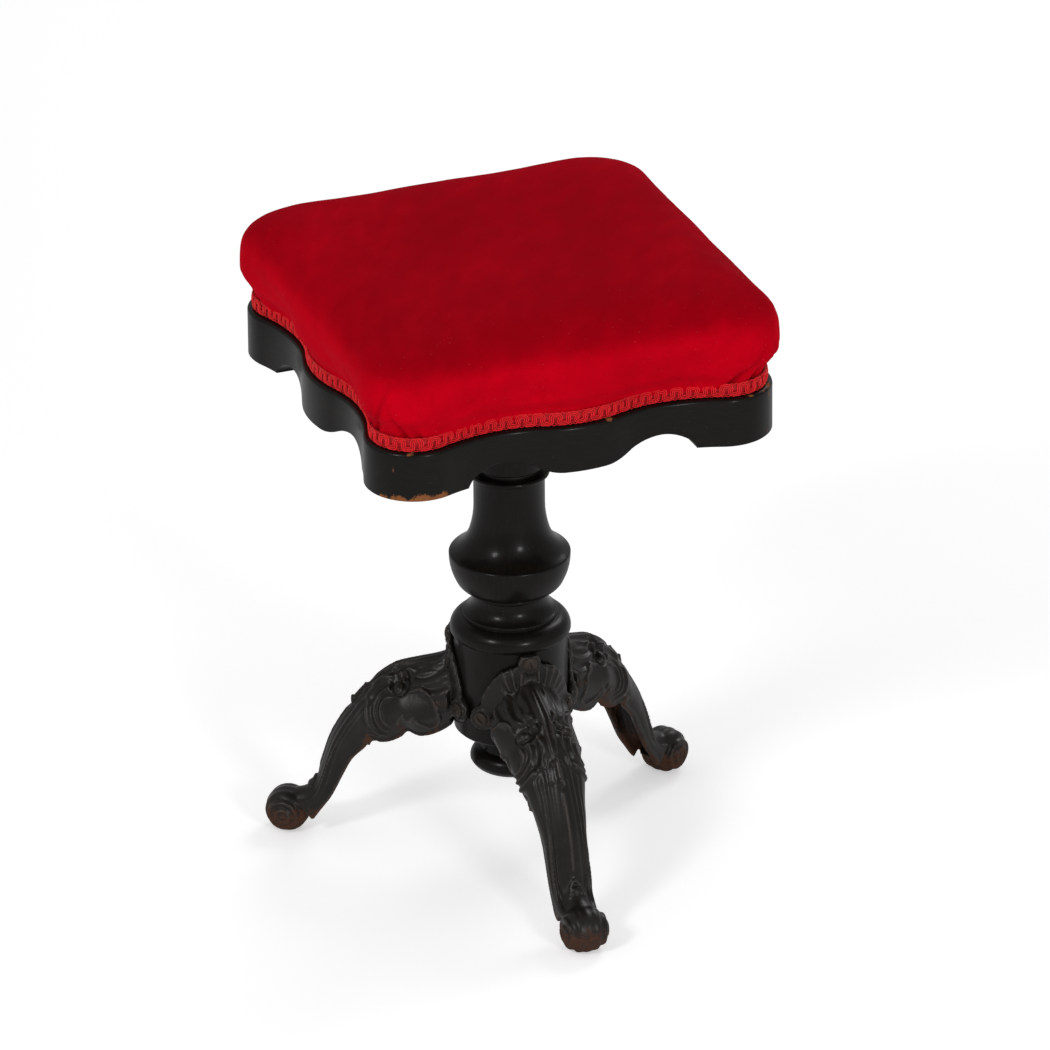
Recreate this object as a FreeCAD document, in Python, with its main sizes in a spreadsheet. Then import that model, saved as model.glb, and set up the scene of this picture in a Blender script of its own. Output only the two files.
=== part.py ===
import FreeCAD, Part
import math
import os

import Sketcher

# Revolving piano stool: a turned column on three cast legs carries an iron nut. The seat hangs on a
# coarse screw in that nut, so the seat rises as it is turned. Millimetres, +Z up, and the origin lies
# on the floor under the column's axis. The first leg points along -X.

SIZE_CELLS = [
    # the turned column, from the floor up
    ("column_radius", 48.8, "plain drum that carries the legs"),
    ("column_foot", 118.5, "underside of the drum"),
    ("collar_height", 213.3, "fattest level of the half-round collar over the drum"),
    ("collar_radius", 51.7, "fattest radius of the collar"),
    ("collar_round", 12.0, "radius of the collar's half-round"),
    ("waist_height", 243.5, "top of the hollow over the collar"),
    ("waist_radius", 31.8, "slimmest radius under the bowl"),
    ("rim_height", 283.4, "sharp rim of the bowl"),
    ("rim_radius", 51.9, "radius of the rim"),
    ("neck_radius", 30.4, "slim neck over the rim"),
    ("lip_radius", 33.2, "lip at the column's mouth, without its half-round"),
    ("lip_depth", 4.4, "height of the lip"),
    ("column_top", 360.8, "level of the column's mouth"),
    ("bore_radius", 22.0, "bore that the foot of the screw runs in"),
    ("drop_radius", 35.3, "turned knob that closes the bore from below"),
    ("drop_bottom", 78.0, "lowest level of that knob"),
    ("spigot_length", 26.0, "peg of the knob inside the bore"),
    # the screw and its nut
    ("screw_radius", 13.0, "iron screw of the seat, over its thread"),
    ("screw_travel", 100.0, "how far the seat rises"),
    ("foot_radius", 9.0, "turned-down foot of the screw"),
    ("foot_length", 16.0, "length of that foot"),
    ("nut_sleeve_radius", 19.5, "sleeve of the nut inside the column"),
    ("nut_sleeve_length", 42.0, "length of the sleeve"),
    ("nut_flange_radius", 27.0, "flange of the nut on the column's mouth"),
    ("nut_flange_depth", 3.8, "height of that flange"),
    ("washer_radius", 19.0, "loose stop washer on the screw's foot"),
    ("washer_depth", 2.5, "its thickness"),
    ("stop_nut_flats", 32.0, "stop nut at the screw's foot, over its flats"),
    ("stop_nut_depth", 10.0, "its height"),
    # clearances
    ("running_gap", 0.08, "between a turning rod and its hole"),
    ("rest_gap", 0.3, "between faces of pieces that move apart"),
    ("fit_gap", 0.1, "between fixed pieces with curved faces"),
    # the seat
    ("seat_half", 180.0, "half side of the seat frame over its corners"),
    ("seat_corner", 42.3, "plan radius of a corner"),
    ("seat_valley", 13.2, "depth of the hollows of each side"),
    ("seat_middle", 1.2, "how far the middle of a side stays inside the corners"),
    ("seat_turn", 33.6, "how far the seat stands turned, in degrees"),
    ("frame_top", 478.6, "top of the seat frame"),
    ("frame_bottom", 435.5, "underside of the frame at its corners"),
    ("frame_inner", 138.0, "inner face of the rails"),
    ("arch_end", 102.0, "half length of a rail between its two foot-like corners"),
    ("arch_shoulder", 92.0, "where the arch turns from steep to flat"),
    ("arch_peak", 72.0, "where the arch is highest"),
    ("arch_fall", 44.0, "where the arch has turned down to the middle lobe"),
    ("lobe_half", 20.0, "half width of the flat of the middle lobe"),
    ("arch_rise", 16.0, "height of the arch over the corners"),
    ("lobe_rise", 1.8, "height of the middle lobe over the corners"),
    ("ledge_round", 3.0, "rounding of the frame's upper outer edge"),
    ("board_depth", 16.0, "seat board"),
    ("block_side", 46.0, "short side of a corner block"),
    ("block_depth", 20.0, "height of a corner block"),
    ("hub_radius", 31.0, "turned hub round the screw, at its foot"),
    ("hub_top_radius", 38.0, "hub under the plate"),
    ("plate_half", 53.0, "half side of the iron plate under the board"),
    ("plate_depth", 5.0, "its thickness"),
    ("plate_screw_spot", 44.0, "distance of its screws from the middle, along each side"),
    # the cushion
    ("ledge_width", 8.5, "bare wood outside the braid"),
    ("cushion_bulge", 4.0, "how far the cushion swells past the frame"),
    ("cushion_swell", 24.0, "level of the cushion's fattest line over the frame"),
    ("cushion_height", 88.0, "crown of the cushion over the frame"),
    ("cushion_corner", 47.0, "plan radius of the cushion's corners at its fattest line"),
    ("cover_thick", 1.6, "velvet with its lining"),
    ("gimp_depth", 10.5, "height of the gimp braid"),
    ("gimp_thick", 2.2, "thickness of the braid"),
    # the legs
    ("leg_hip_half", 35.0, "half width of a leg at its hip"),
    ("leg_shin_half", 16.5, "half width of its lower stretch"),
    ("leg_crown_half", 13.0, "half width of its rounded crown"),
    ("leg_reach", 197.5, "middle of a foot from the column's axis"),
    ("foot_ball", 19.2, "radius of the rolled foot"),
    ("foot_rise", 18.5, "middle of the roll over the floor"),
    ("foot_half", 20.3, "half width of the foot"),
    ("leg_wall", 4.5, "wall of the hollow casting"),
    ("saddle_thick", 4.5, "plate of a leg on the column"),
    ("boss_height", 200.5, "upper screw of a leg"),
    ("boss_radius", 9.5, "round boss of the upper screw"),
    ("ear_height", 147.0, "two lower screws of a leg"),
    ("ear_angle", 46.0, "turn of those screws from the leg's middle, in degrees"),
    ("ear_radius", 11.0, "round ear of a lower screw"),
    # the screws that hold the legs and plates
    ("leg_screw_head", 6.0, "head radius of a leg screw"),
    ("leg_screw_dome", 2.4, "height of that head"),
    ("leg_screw_shank", 2.6, "shank radius"),
    ("leg_screw_length", 24.0, "length under the head"),
    ("small_screw_head", 4.2, "head radius of a small screw"),
    ("small_screw_dome", 1.8, "height of that head"),
    ("small_screw_shank", 2.0, "shank radius"),
    ("small_screw_length", 16.0, "length under the head"),
]

LEG_COUNT = 3
SIDE_COUNT = 4
FIRST_LEG_AZIMUTH = 180.0


class Dim:
    """A size as a number and as the text of an expression, so that both follow the sheet."""

    def __init__(self, value, text):
        self.value = float(value)
        self.text = text

    @staticmethod
    def of(other):
        return other if isinstance(other, Dim) else Dim(other, f"{float(other):.6f}")

    def __add__(self, other):
        other = Dim.of(other)
        return Dim(self.value + other.value, f"({self.text} + {other.text})")

    def __sub__(self, other):
        other = Dim.of(other)
        return Dim(self.value - other.value, f"({self.text} - {other.text})")

    def __mul__(self, other):
        other = Dim.of(other)
        return Dim(self.value * other.value, f"({self.text} * {other.text})")

    def __truediv__(self, other):
        other = Dim.of(other)
        return Dim(self.value / other.value, f"({self.text} / {other.text})")

    def __radd__(self, other):
        return Dim.of(other) + self

    def __rsub__(self, other):
        return Dim.of(other) - self

    def __rmul__(self, other):
        return Dim.of(other) * self

    def __neg__(self):
        return Dim.of(0) - self

    def __float__(self):
        return self.value


def root_of(dim):
    return Dim(math.sqrt(dim.value), f"sqrt({dim.text})")


def sine(degrees):
    return Dim(math.sin(math.radians(degrees.value)), f"sin(1 deg * {degrees.text})")


def cosine(degrees):
    return Dim(math.cos(math.radians(degrees.value)), f"cos(1 deg * {degrees.text})")


def arc_tangent(dim):
    return Dim(math.degrees(math.atan(dim.value)), f"(atan({dim.text}) / 1 deg)")


class Sizes:
    """The sheet of driving dimensions: each name gives a Dim."""

    def __init__(self, doc):
        self.sheet = doc.addObject("Spreadsheet::Sheet", "Sizes")
        self.values = {}
        for row, (name, value, note) in enumerate(SIZE_CELLS, 1):
            self.sheet.set(f"A{row}", name)
            self.sheet.set(f"B{row}", str(value))
            self.sheet.setAlias(f"B{row}", name)
            self.sheet.set(f"C{row}", note)
            self.values[name] = value

    def __getattr__(self, name):
        return Dim(self.values[name], f"Sizes.{name}")


doc = FreeCAD.newDocument("piano_stool")
dims = Sizes(doc)
doc.recompute()


def bind(obj, **sizes):
    """Ties properties of an object to the sheet."""
    for prop, dim in sizes.items():
        obj.setExpression(prop, Dim.of(dim).text)


def new_body(name, turn=0.0, shift=(0, 0, 0)):
    """A body, turned about the stool's axis."""
    body = doc.addObject("PartDesign::Body", name)
    body.Label = name
    spin = FreeCAD.Rotation(FreeCAD.Vector(0, 0, 1), turn)
    body.Placement = FreeCAD.Placement(spin.multVec(FreeCAD.Vector(*shift)), spin)
    return body


def plane_of(body, role):
    return next(f for f in body.Origin.OriginFeatures if f.Role == role)


def sketch_in(body, name, role, height=None):
    """A sketch on one of a body's own planes, lifted to a height where one is given."""
    sketch = body.newObject("Sketcher::SketchObject", name)
    sketch.AttachmentSupport = [(plane_of(body, role), "")]
    sketch.MapMode = "FlatFace"
    if height is not None:
        sketch.AttachmentOffset = FreeCAD.Placement(
            FreeCAD.Vector(0, 0, height.value), FreeCAD.Rotation()
        )
        sketch.setExpression("AttachmentOffset.Base.z", height.text)
    return sketch


def pin_point(sketch, edge, end, x, y):
    """Holds one end of an edge at x, y."""
    for axis, kind, dim in ((-2, "DistanceX", x), (-1, "DistanceY", y)):
        if abs(dim.value) < 1e-9:
            sketch.addConstraint(Sketcher.Constraint("PointOnObject", edge, end, axis))
            continue
        sketch.addConstraint(Sketcher.Constraint(kind, -1, 1, edge, end, dim.value))
        sketch.setExpression(f"Constraints[{sketch.ConstraintCount - 1}]", dim.text)


def line_to(x, y):
    return ("line", Dim.of(x), Dim.of(y), None, 0)


def arc_to(x, y, turn=None, radius=None, side=1):
    """An arc to x, y. turn is its sweep in degrees, and bulges to the left of the way where it is
    positive. A radius may stand in its place, with side 1 for left and -1 for right."""
    if turn is not None:
        side = 1 if turn > 0 else -1
    return ("arc", Dim.of(x), Dim.of(y), radius if radius is not None else abs(turn), side)


def draw_loop(sketch, start, steps):
    """A closed loop of lines and arcs, with each corner tied to the sheet."""
    corner = (Dim.of(start[0]), Dim.of(start[1]))
    ends = []
    for kind, x, y, bend, side in steps:
        here = FreeCAD.Vector(corner[0].value, corner[1].value, 0)
        there = FreeCAD.Vector(x.value, y.value, 0)
        if kind == "line":
            edge = sketch.addGeometry(Part.LineSegment(here, there), False)
            first, last = 1, 2
        else:
            run = root_of((x - corner[0]) * (x - corner[0]) + (y - corner[1]) * (y - corner[1]))
            if isinstance(bend, Dim):
                radius = bend
            else:
                radius = run * (0.5 / math.sin(math.radians(bend / 2)))
            along = (there - here).normalize()
            left = FreeCAD.Vector(-along.y, along.x, 0)
            depth = math.sqrt(max(radius.value**2 - run.value**2 / 4, 0))
            middle = (here + there) * 0.5 - left * (side * depth)
            angles = [math.atan2((p - middle).y, (p - middle).x) for p in (here, there)]
            if side > 0:
                angles.reverse()
            if angles[1] < angles[0]:
                angles[1] += 2 * math.pi
            circle = Part.Circle(middle, FreeCAD.Vector(0, 0, 1), radius.value)
            edge = sketch.addGeometry(Part.ArcOfCircle(circle, *angles), False)
            first, last = (2, 1) if side > 0 else (1, 2)
            sketch.addConstraint(Sketcher.Constraint("Radius", edge, radius.value))
            sketch.setExpression(f"Constraints[{sketch.ConstraintCount - 1}]", radius.text)
        ends.append((edge, first, last))
        pin_point(sketch, edge, first, *corner)
        corner = (x, y)
    for (edge, _, last), (following, first, _) in zip(ends, ends[1:] + ends[:1]):
        sketch.addConstraint(Sketcher.Constraint("Coincident", edge, last, following, first))


def draw_circle(sketch, x, y, radius):
    """A circle tied to the sheet."""
    x, y = Dim.of(x), Dim.of(y)
    circle = Part.Circle(FreeCAD.Vector(x.value, y.value, 0), FreeCAD.Vector(0, 0, 1), radius.value)
    edge = sketch.addGeometry(circle, False)
    pin_point(sketch, edge, 3, x, y)
    sketch.addConstraint(Sketcher.Constraint("Radius", edge, radius.value))
    sketch.setExpression(f"Constraints[{sketch.ConstraintCount - 1}]", radius.text)


def revolve(body, sketch):
    """Turns a profile about the upright axis."""
    turned = body.newObject("PartDesign::Revolution", "Turned")
    turned.Profile = sketch
    turned.ReferenceAxis = (sketch, ["V_Axis"])
    turned.Angle = 360
    sketch.Visibility = False
    return turned


def pad(body, sketch, depth):
    raised = body.newObject("PartDesign::Pad", "Raised")
    raised.Profile = sketch
    bind(raised, Length=depth)
    return raised


def turned_body(name, start, steps):
    """A turned piece from its half profile."""
    body = new_body(name)
    sketch = sketch_in(body, f"{name}_profile", "XZ_Plane")
    draw_loop(sketch, start, steps)
    revolve(body, sketch)
    return body


def radial_cutter(body, name, azimuth, height, radius, inner, outer):
    """A hole that points away from the axis."""
    cutter = body.newObject("PartDesign::SubtractiveCylinder", name)
    bind(cutter, Radius=radius, Height=outer - inner)
    spin = FreeCAD.Rotation(azimuth, 90, 0)
    foot = spin.multVec(FreeCAD.Vector(0, 0, inner.value))
    foot.z = height.value
    cutter.Placement = FreeCAD.Placement(foot, spin)
    return cutter


def placed_copies(name, shape, places):
    """A node of like solids."""
    copies = []
    for place in places:
        copy = shape.copy()
        copy.Placement = place.multiply(copy.Placement)
        copies.append(copy)
    group = doc.addObject("Part::Feature", name)
    group.Label = name
    group.Shape = Part.makeCompound(copies) if len(copies) > 1 else copies[0]
    return group


# The levels that several pieces share
flange_top = dims.column_top + dims.nut_flange_depth
hub_foot = flange_top + dims.rest_gap
board_bottom = dims.frame_top - dims.board_depth
plate_bottom = board_bottom - dims.plate_depth
sleeve_foot = dims.column_top - dims.nut_sleeve_length
washer_top = sleeve_foot - dims.rest_gap - dims.screw_travel
saddle_inner = dims.column_radius + dims.fit_gap
saddle_outer = saddle_inner + dims.saddle_thick
head_seat = saddle_outer + 1.5


def leg_azimuth(number):
    return FIRST_LEG_AZIMUTH + 360 / LEG_COUNT * number


def leg_screw_spots():
    """Each screw of a leg: its azimuth from the leg's middle, and its height."""
    boss = (dims.ear_angle * 0, dims.boss_height)
    return [boss, (-dims.ear_angle, dims.ear_height), (dims.ear_angle, dims.ear_height)]


def make_column():
    """The turned column: drum, collar, hollow, bowl and neck, bored for the screw."""
    lip_foot = dims.column_top - dims.lip_depth
    seat_radius = dims.nut_sleeve_radius + dims.fit_gap
    steps = [
        line_to(dims.lip_radius, dims.column_top),
        arc_to(dims.lip_radius, lip_foot, turn=128),
        line_to(dims.neck_radius, lip_foot - 1.0),
        line_to(dims.neck_radius, dims.rim_height + 46.0),
        arc_to(dims.neck_radius + 4.1, dims.rim_height + 20.1, turn=-18),
        arc_to(dims.rim_radius - 0.9, dims.rim_height + 1.1, turn=-44),
        line_to(dims.rim_radius, dims.rim_height - 0.2),
        line_to(dims.rim_radius, dims.rim_height - 1.4),
        arc_to(dims.rim_radius - 5.4, dims.rim_height - 24.0, turn=27),
        arc_to(dims.waist_radius + 5.0, dims.waist_height + 7.3, turn=52),
        line_to(dims.waist_radius + 1.2, dims.waist_height + 7.0),
        arc_to(dims.waist_radius + 1.2, dims.waist_height + 2.6, turn=140),
        line_to(dims.waist_radius, dims.waist_height + 2.2),
        line_to(dims.waist_radius, dims.waist_height),
        arc_to(dims.waist_radius + 8.4, dims.waist_height - 14.5, turn=-62),
        line_to(dims.waist_radius + 9.0, dims.waist_height - 15.0),
        line_to(dims.waist_radius + 9.0, dims.collar_height + dims.collar_round + 1.4),
        line_to(dims.collar_radius - dims.collar_round + 1.0, dims.collar_height + dims.collar_round),
        arc_to(dims.collar_radius, dims.collar_height, turn=86),
        arc_to(dims.column_radius + 1.2, dims.collar_height - 4.2, turn=60),
        line_to(dims.column_radius, dims.collar_height - 5.4),
        line_to(dims.column_radius, dims.column_foot + 2.5),
        line_to(dims.column_radius - 2.5, dims.column_foot),
        line_to(dims.bore_radius, dims.column_foot),
        line_to(dims.bore_radius, sleeve_foot),
        line_to(seat_radius, sleeve_foot),
        line_to(seat_radius, dims.column_top),
    ]
    body = turned_body("column", (seat_radius, dims.column_top), steps)
    blind_end = head_seat - dims.leg_screw_length - 1.0
    hole = dims.leg_screw_shank + dims.fit_gap
    for leg in range(LEG_COUNT):
        for number, (turn, height) in enumerate(leg_screw_spots()):
            azimuth = leg_azimuth(leg) + turn.value
            name = f"Hole_{leg + 1}_{number + 1}"
            body.Tip = radial_cutter(body, name, azimuth, height, hole, blind_end, saddle_outer)
    return body


def make_drop():
    """The turned knob that closes the bore, with its peg."""
    peg = dims.bore_radius - dims.fit_gap
    shoulder = dims.column_foot - 0.05
    middle = dims.drop_bottom + 10.4
    steps = [
        line_to(peg, shoulder + dims.spigot_length),
        line_to(peg, shoulder),
        line_to(dims.drop_radius - 1.5, shoulder),
        line_to(dims.drop_radius - 1.5, shoulder - 2.0),
        arc_to(dims.drop_radius - 9.0, middle + 10.5, turn=-80),
        arc_to(dims.drop_radius, middle, turn=95),
        arc_to(dims.drop_radius - 15.0, dims.drop_bottom + 1.2, turn=70),
        arc_to(0, dims.drop_bottom, turn=14),
        line_to(0, shoulder + dims.spigot_length),
    ]
    return turned_body("column_drop", (0, shoulder + dims.spigot_length), steps)


def make_spindle_nut():
    """The flanged iron nut in the column's mouth."""
    hole = dims.screw_radius + dims.running_gap
    steps = [
        line_to(dims.nut_flange_radius - 1.0, flange_top),
        line_to(dims.nut_flange_radius, flange_top - 1.0),
        line_to(dims.nut_flange_radius, dims.column_top),
        line_to(dims.nut_sleeve_radius, dims.column_top),
        line_to(dims.nut_sleeve_radius, sleeve_foot),
        line_to(hole, sleeve_foot),
        line_to(hole, flange_top),
    ]
    return turned_body("spindle_nut", (hole, flange_top), steps)


def make_spindle():
    """The screw of the seat as a plain rod: tenon, stem and turned-down foot."""
    tenon = dims.screw_radius - 3.0
    foot_top = washer_top + dims.running_gap
    foot_end = foot_top - dims.foot_length
    steps = [
        line_to(tenon, board_bottom + 3.0),
        line_to(tenon, plate_bottom),
        line_to(dims.screw_radius, plate_bottom),
        line_to(dims.screw_radius, foot_top),
        line_to(dims.foot_radius, foot_top),
        line_to(dims.foot_radius, foot_end + 1.0),
        line_to(dims.foot_radius - 1.0, foot_end),
        line_to(0, foot_end),
    ]
    steps.append(line_to(0, board_bottom + 3.0))
    return turned_body("spindle", (0, board_bottom + 3.0), steps)


def make_stop_washer():
    """The loose washer that meets the nut when the seat is fully up."""
    hole = dims.foot_radius + dims.running_gap
    foot = washer_top - dims.washer_depth
    steps = [
        line_to(dims.washer_radius, washer_top),
        line_to(dims.washer_radius, foot),
        line_to(hole, foot),
        line_to(hole, washer_top),
    ]
    return turned_body("stop_washer", (hole, washer_top), steps)


def make_stop_nut():
    """The hexagonal nut under the washer."""
    body = new_body("stop_nut")
    top = washer_top - dims.washer_depth - dims.running_gap
    sketch = sketch_in(body, "stop_nut_outline", "XY_Plane", top - dims.stop_nut_depth)
    half = dims.stop_nut_flats / 2
    corner = half * (1 / math.cos(math.pi / 6))
    spots = [(corner, Dim.of(0))]
    for way in ((0.5, 1), (-0.5, 1), (-1, 0), (-0.5, -1), (0.5, -1)):
        spots.append((corner * way[0], half * way[1]))
    draw_loop(sketch, spots[0], [line_to(*spot) for spot in spots[1:] + spots[:1]])
    draw_circle(sketch, 0, 0, dims.foot_radius + dims.fit_gap / 2)
    pad(body, sketch, dims.stop_nut_depth)
    return body


def make_plate():
    """The iron plate that the screw is riveted in."""
    body = new_body("spindle_plate", dims.seat_turn.value)
    sketch = sketch_in(body, "plate_outline", "XY_Plane", plate_bottom)
    half, cut = dims.plate_half, 12.0
    draw_loop(
        sketch,
        (half - cut, -half),
        [
            line_to(half, -half + cut),
            line_to(half, half - cut),
            line_to(half - cut, half),
            line_to(-half + cut, half),
            line_to(-half, half - cut),
            line_to(-half, -half + cut),
            line_to(-half + cut, -half),
            line_to(half - cut, -half),
        ],
    )
    draw_circle(sketch, 0, 0, dims.screw_radius - 3.0 + dims.fit_gap / 2)
    spot = dims.plate_screw_spot
    hole = dims.small_screw_shank + dims.fit_gap
    for x, y in ((spot, 0), (-spot, 0), (0, spot), (0, -spot)):
        draw_circle(sketch, x, y, hole)
    pad(body, sketch, dims.plate_depth)
    return body


def make_hub():
    """The turned wooden hub round the screw, between plate and nut."""
    hole = dims.screw_radius + dims.fit_gap
    top = plate_bottom - 0.05
    steps = [
        line_to(dims.hub_top_radius, top),
        line_to(dims.hub_top_radius, top - 8.0),
        arc_to(dims.hub_top_radius - 5.0, top - 14.0, turn=70),
        line_to(dims.hub_radius - 4.0, top - 15.0),
        arc_to(dims.hub_radius, hub_foot + 34.0, turn=-60),
        line_to(dims.hub_radius + 1.5, hub_foot + 33.0),
        arc_to(dims.hub_radius + 1.5, hub_foot + 28.0, turn=120),
        line_to(dims.hub_radius, hub_foot + 27.0),
        line_to(dims.hub_radius, hub_foot + 1.5),
        line_to(dims.hub_radius - 1.5, hub_foot),
        line_to(hole, hub_foot),
        line_to(hole, top),
    ]
    return turned_body("seat_hub", (hole, top), steps)


def make_board():
    """The seat board inside the rails."""
    body = new_body("seat_board", dims.seat_turn.value)
    sketch = sketch_in(body, "board_outline", "XY_Plane", board_bottom)
    half = dims.frame_inner - dims.fit_gap
    spots = [(half, -half), (half, half), (-half, half), (-half, -half)]
    draw_loop(sketch, spots[0], [line_to(*spot) for spot in spots[1:] + spots[:1]])
    draw_circle(sketch, 0, 0, dims.screw_radius)
    hole = dims.small_screw_shank + dims.fit_gap
    spot = dims.plate_screw_spot
    for x, y in ((spot, 0), (-spot, 0), (0, spot), (0, -spot)):
        draw_circle(sketch, x, y, hole)
    block = block_spot()
    for x, y in ((block, block), (-block, block), (-block, -block), (block, -block)):
        draw_circle(sketch, x, y, hole)
    pad(body, sketch, dims.board_depth)
    return body


def block_spot():
    """Where a corner block's screw stands, along each side."""
    return dims.frame_inner - dims.block_side * 0.3


def make_block(number):
    """A corner block glued in the frame under the board, with its screw hole."""
    turn = dims.seat_turn.value + 90 * number
    body = new_body(f"corner_block_{number + 1}", turn)
    top = board_bottom - 0.05
    sketch = sketch_in(body, f"block_{number + 1}_outline", "XY_Plane", top - dims.block_depth)
    inner = dims.frame_inner - dims.fit_gap
    far = inner - dims.block_side
    draw_loop(sketch, (inner, inner), [line_to(far, inner), line_to(inner, far), line_to(inner, inner)])
    draw_circle(sketch, block_spot(), block_spot(), dims.small_screw_shank + dims.fit_gap)
    pad(body, sketch, dims.block_depth)
    return body


def side_points(half, corner, valley, middle):
    """One wavy side of the seat, from its corner's diagonal to the middle: points and radii."""
    crest = half - corner
    dip = crest / 2
    swing = 2 * arc_tangent(valley / dip)
    valley_radius = dip / sine(swing) - corner
    rise = (valley - middle) / 2
    middle_radius = ((dip / 2) * (dip / 2) + rise * rise) / (2 * rise)
    diagonal = crest + corner * math.sqrt(0.5)
    return [
        (diagonal, diagonal, None, 0),
        (crest - corner * sine(swing), crest + corner * cosine(swing), corner, -1),
        (dip, half - valley, valley_radius, 1),
        (dip / 2, half - valley + rise, middle_radius, 1),
        (-(dip / 2), half - valley + rise, middle_radius, -1),
    ]


def make_rail(number):
    """A rail of the seat frame: wavy outside, mitred ends, arches cut in its lower edge."""
    turn = dims.seat_turn.value + 90 * number
    body = new_body(f"seat_rail_{number + 1}", turn)
    sketch = sketch_in(body, f"rail_{number + 1}_plan", "XY_Plane", dims.frame_bottom)
    points = side_points(dims.seat_half, dims.seat_corner, dims.seat_valley, dims.seat_middle)
    mitre = dims.fit_gap / 2
    steps = [arc_to(x, y, radius=bend, side=side) for x, y, bend, side in points[1:]]
    mirrored = points[3::-1]
    bends = [(points[3][2], 1), (points[2][2], 1), (points[1][2], -1)]
    for (x, y, _, _), (bend, side) in zip(mirrored[1:], bends):
        steps.append(arc_to(-x, y, radius=bend, side=side))
    start = (points[0][0] - mitre, points[0][1])
    steps[-1] = arc_to(-points[0][0] + mitre, points[0][1], radius=points[1][2], side=-1)
    inner = dims.frame_inner
    steps += [line_to(-inner + mitre, inner), line_to(inner - mitre, inner), line_to(*start)]
    draw_loop(sketch, start, steps)
    raised = pad(body, sketch, dims.frame_top - dims.frame_bottom)
    side_view = sketch_in(body, f"rail_{number + 1}_arches", "XZ_Plane")
    foot = dims.frame_bottom
    peak, lobe = foot + dims.arch_rise, foot + dims.lobe_rise
    below = foot - 5.0
    draw_loop(
        side_view,
        (dims.arch_end, foot),
        [
            arc_to(dims.arch_shoulder, peak - 5.5, turn=-40),
            arc_to(dims.arch_peak, peak, turn=-28),
            arc_to(dims.arch_fall, peak - 6.5, turn=-24),
            arc_to(dims.lobe_half, lobe, turn=30),
            line_to(-dims.lobe_half, lobe),
            arc_to(-dims.arch_fall, peak - 6.5, turn=30),
            arc_to(-dims.arch_peak, peak, turn=-24),
            arc_to(-dims.arch_shoulder, peak - 5.5, turn=-28),
            arc_to(-dims.arch_end, foot, turn=-40),
            line_to(-dims.arch_end, below),
            line_to(dims.arch_end, below),
            line_to(dims.arch_end, foot),
        ],
    )
    arches = body.newObject("PartDesign::Pocket", "Arches")
    arches.Profile = side_view
    arches.Type = "ThroughAll"
    arches.Midplane = True
    doc.recompute()
    if arches.Shape.Volume > raised.Shape.Volume - 1.0:
        raise RuntimeError("the arches cut nothing")
    rounding = body.newObject("PartDesign::Fillet", "Rounding")
    rounding.Base = (arches, outer_top_edges(arches.Shape))
    bind(rounding, Radius=dims.ledge_round)
    body.Tip = rounding
    return body


def outer_top_edges(shape):
    """The curved edges of a rail's outer face at the frame's top."""
    names = []
    for index, edge in enumerate(shape.Edges, 1):
        box = edge.BoundBox
        curved = edge.Curve.TypeId == "Part::GeomCircle"
        if curved and abs(box.ZMin - dims.frame_top.value) < 0.01 and box.ZLength < 0.01:
            names.append(f"Edge{index}")
    return names


def make_screw(name, head, dome, shank, length):
    """A round-headed screw, pointing down, with its seat at the origin."""
    body = new_body(name)
    sketch = sketch_in(body, f"{name}_profile", "XZ_Plane")
    steps = [
        line_to(head * 0.55, dome),
        line_to(head * 0.88, dome * 0.62),
        line_to(head, dome * 0.15),
        line_to(head, 0),
        line_to(shank, 0),
        line_to(shank, -length),
        line_to(0, -length),
        line_to(0, dome),
    ]
    draw_loop(sketch, (0, dome), steps)
    revolve(body, sketch)
    doc.recompute()
    return body


def radial_place(azimuth, radius, height):
    """A place on the column's side whose own +Z points away from the axis."""
    spin = FreeCAD.Rotation(azimuth, 90, 0)
    out = FreeCAD.Rotation(FreeCAD.Vector(0, 0, 1), azimuth).multVec(FreeCAD.Vector(radius, 0, height))
    return FreeCAD.Placement(out, spin)


# Cuts across the casting from the column to the foot. Each gives the crown and the open lower edge
# in the leg's upright plane, as shares of the way out from the saddle to the foot's middle and of
# the way up from there to the upper screw, and how much of the hip's extra width it has.
LEG_CUTS = [
    ((-0.020, 0.900), (-0.050, 0.580), 1.00),
    ((0.075, 0.855), (0.045, 0.537), 1.00),
    ((0.200, 0.815), (0.150, 0.511), 0.95),
    ((0.345, 0.766), (0.276, 0.481), 0.80),
    ((0.485, 0.668), (0.401, 0.445), 0.60),
    ((0.617, 0.555), (0.485, 0.409), 0.33),
    ((0.721, 0.423), (0.575, 0.330), 0.13),
    ((0.781, 0.283), (0.641, 0.228), 0.03),
    ((0.829, 0.170), (0.704, 0.124), 0.00),
    ((0.896, 0.121), (0.770, 0.047), 0.03),
    ((0.965, 0.102), (0.826, -0.019), 0.05),
]


def leg_spot(shares):
    """A place in the leg's upright plane from its two shares."""
    out, rise = shares
    reach = saddle_outer.value + out * (dims.leg_reach.value - saddle_outer.value)
    height = dims.foot_rise.value + rise * (dims.boss_height.value - dims.foot_rise.value)
    return FreeCAD.Vector(reach, 0, height)


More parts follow.
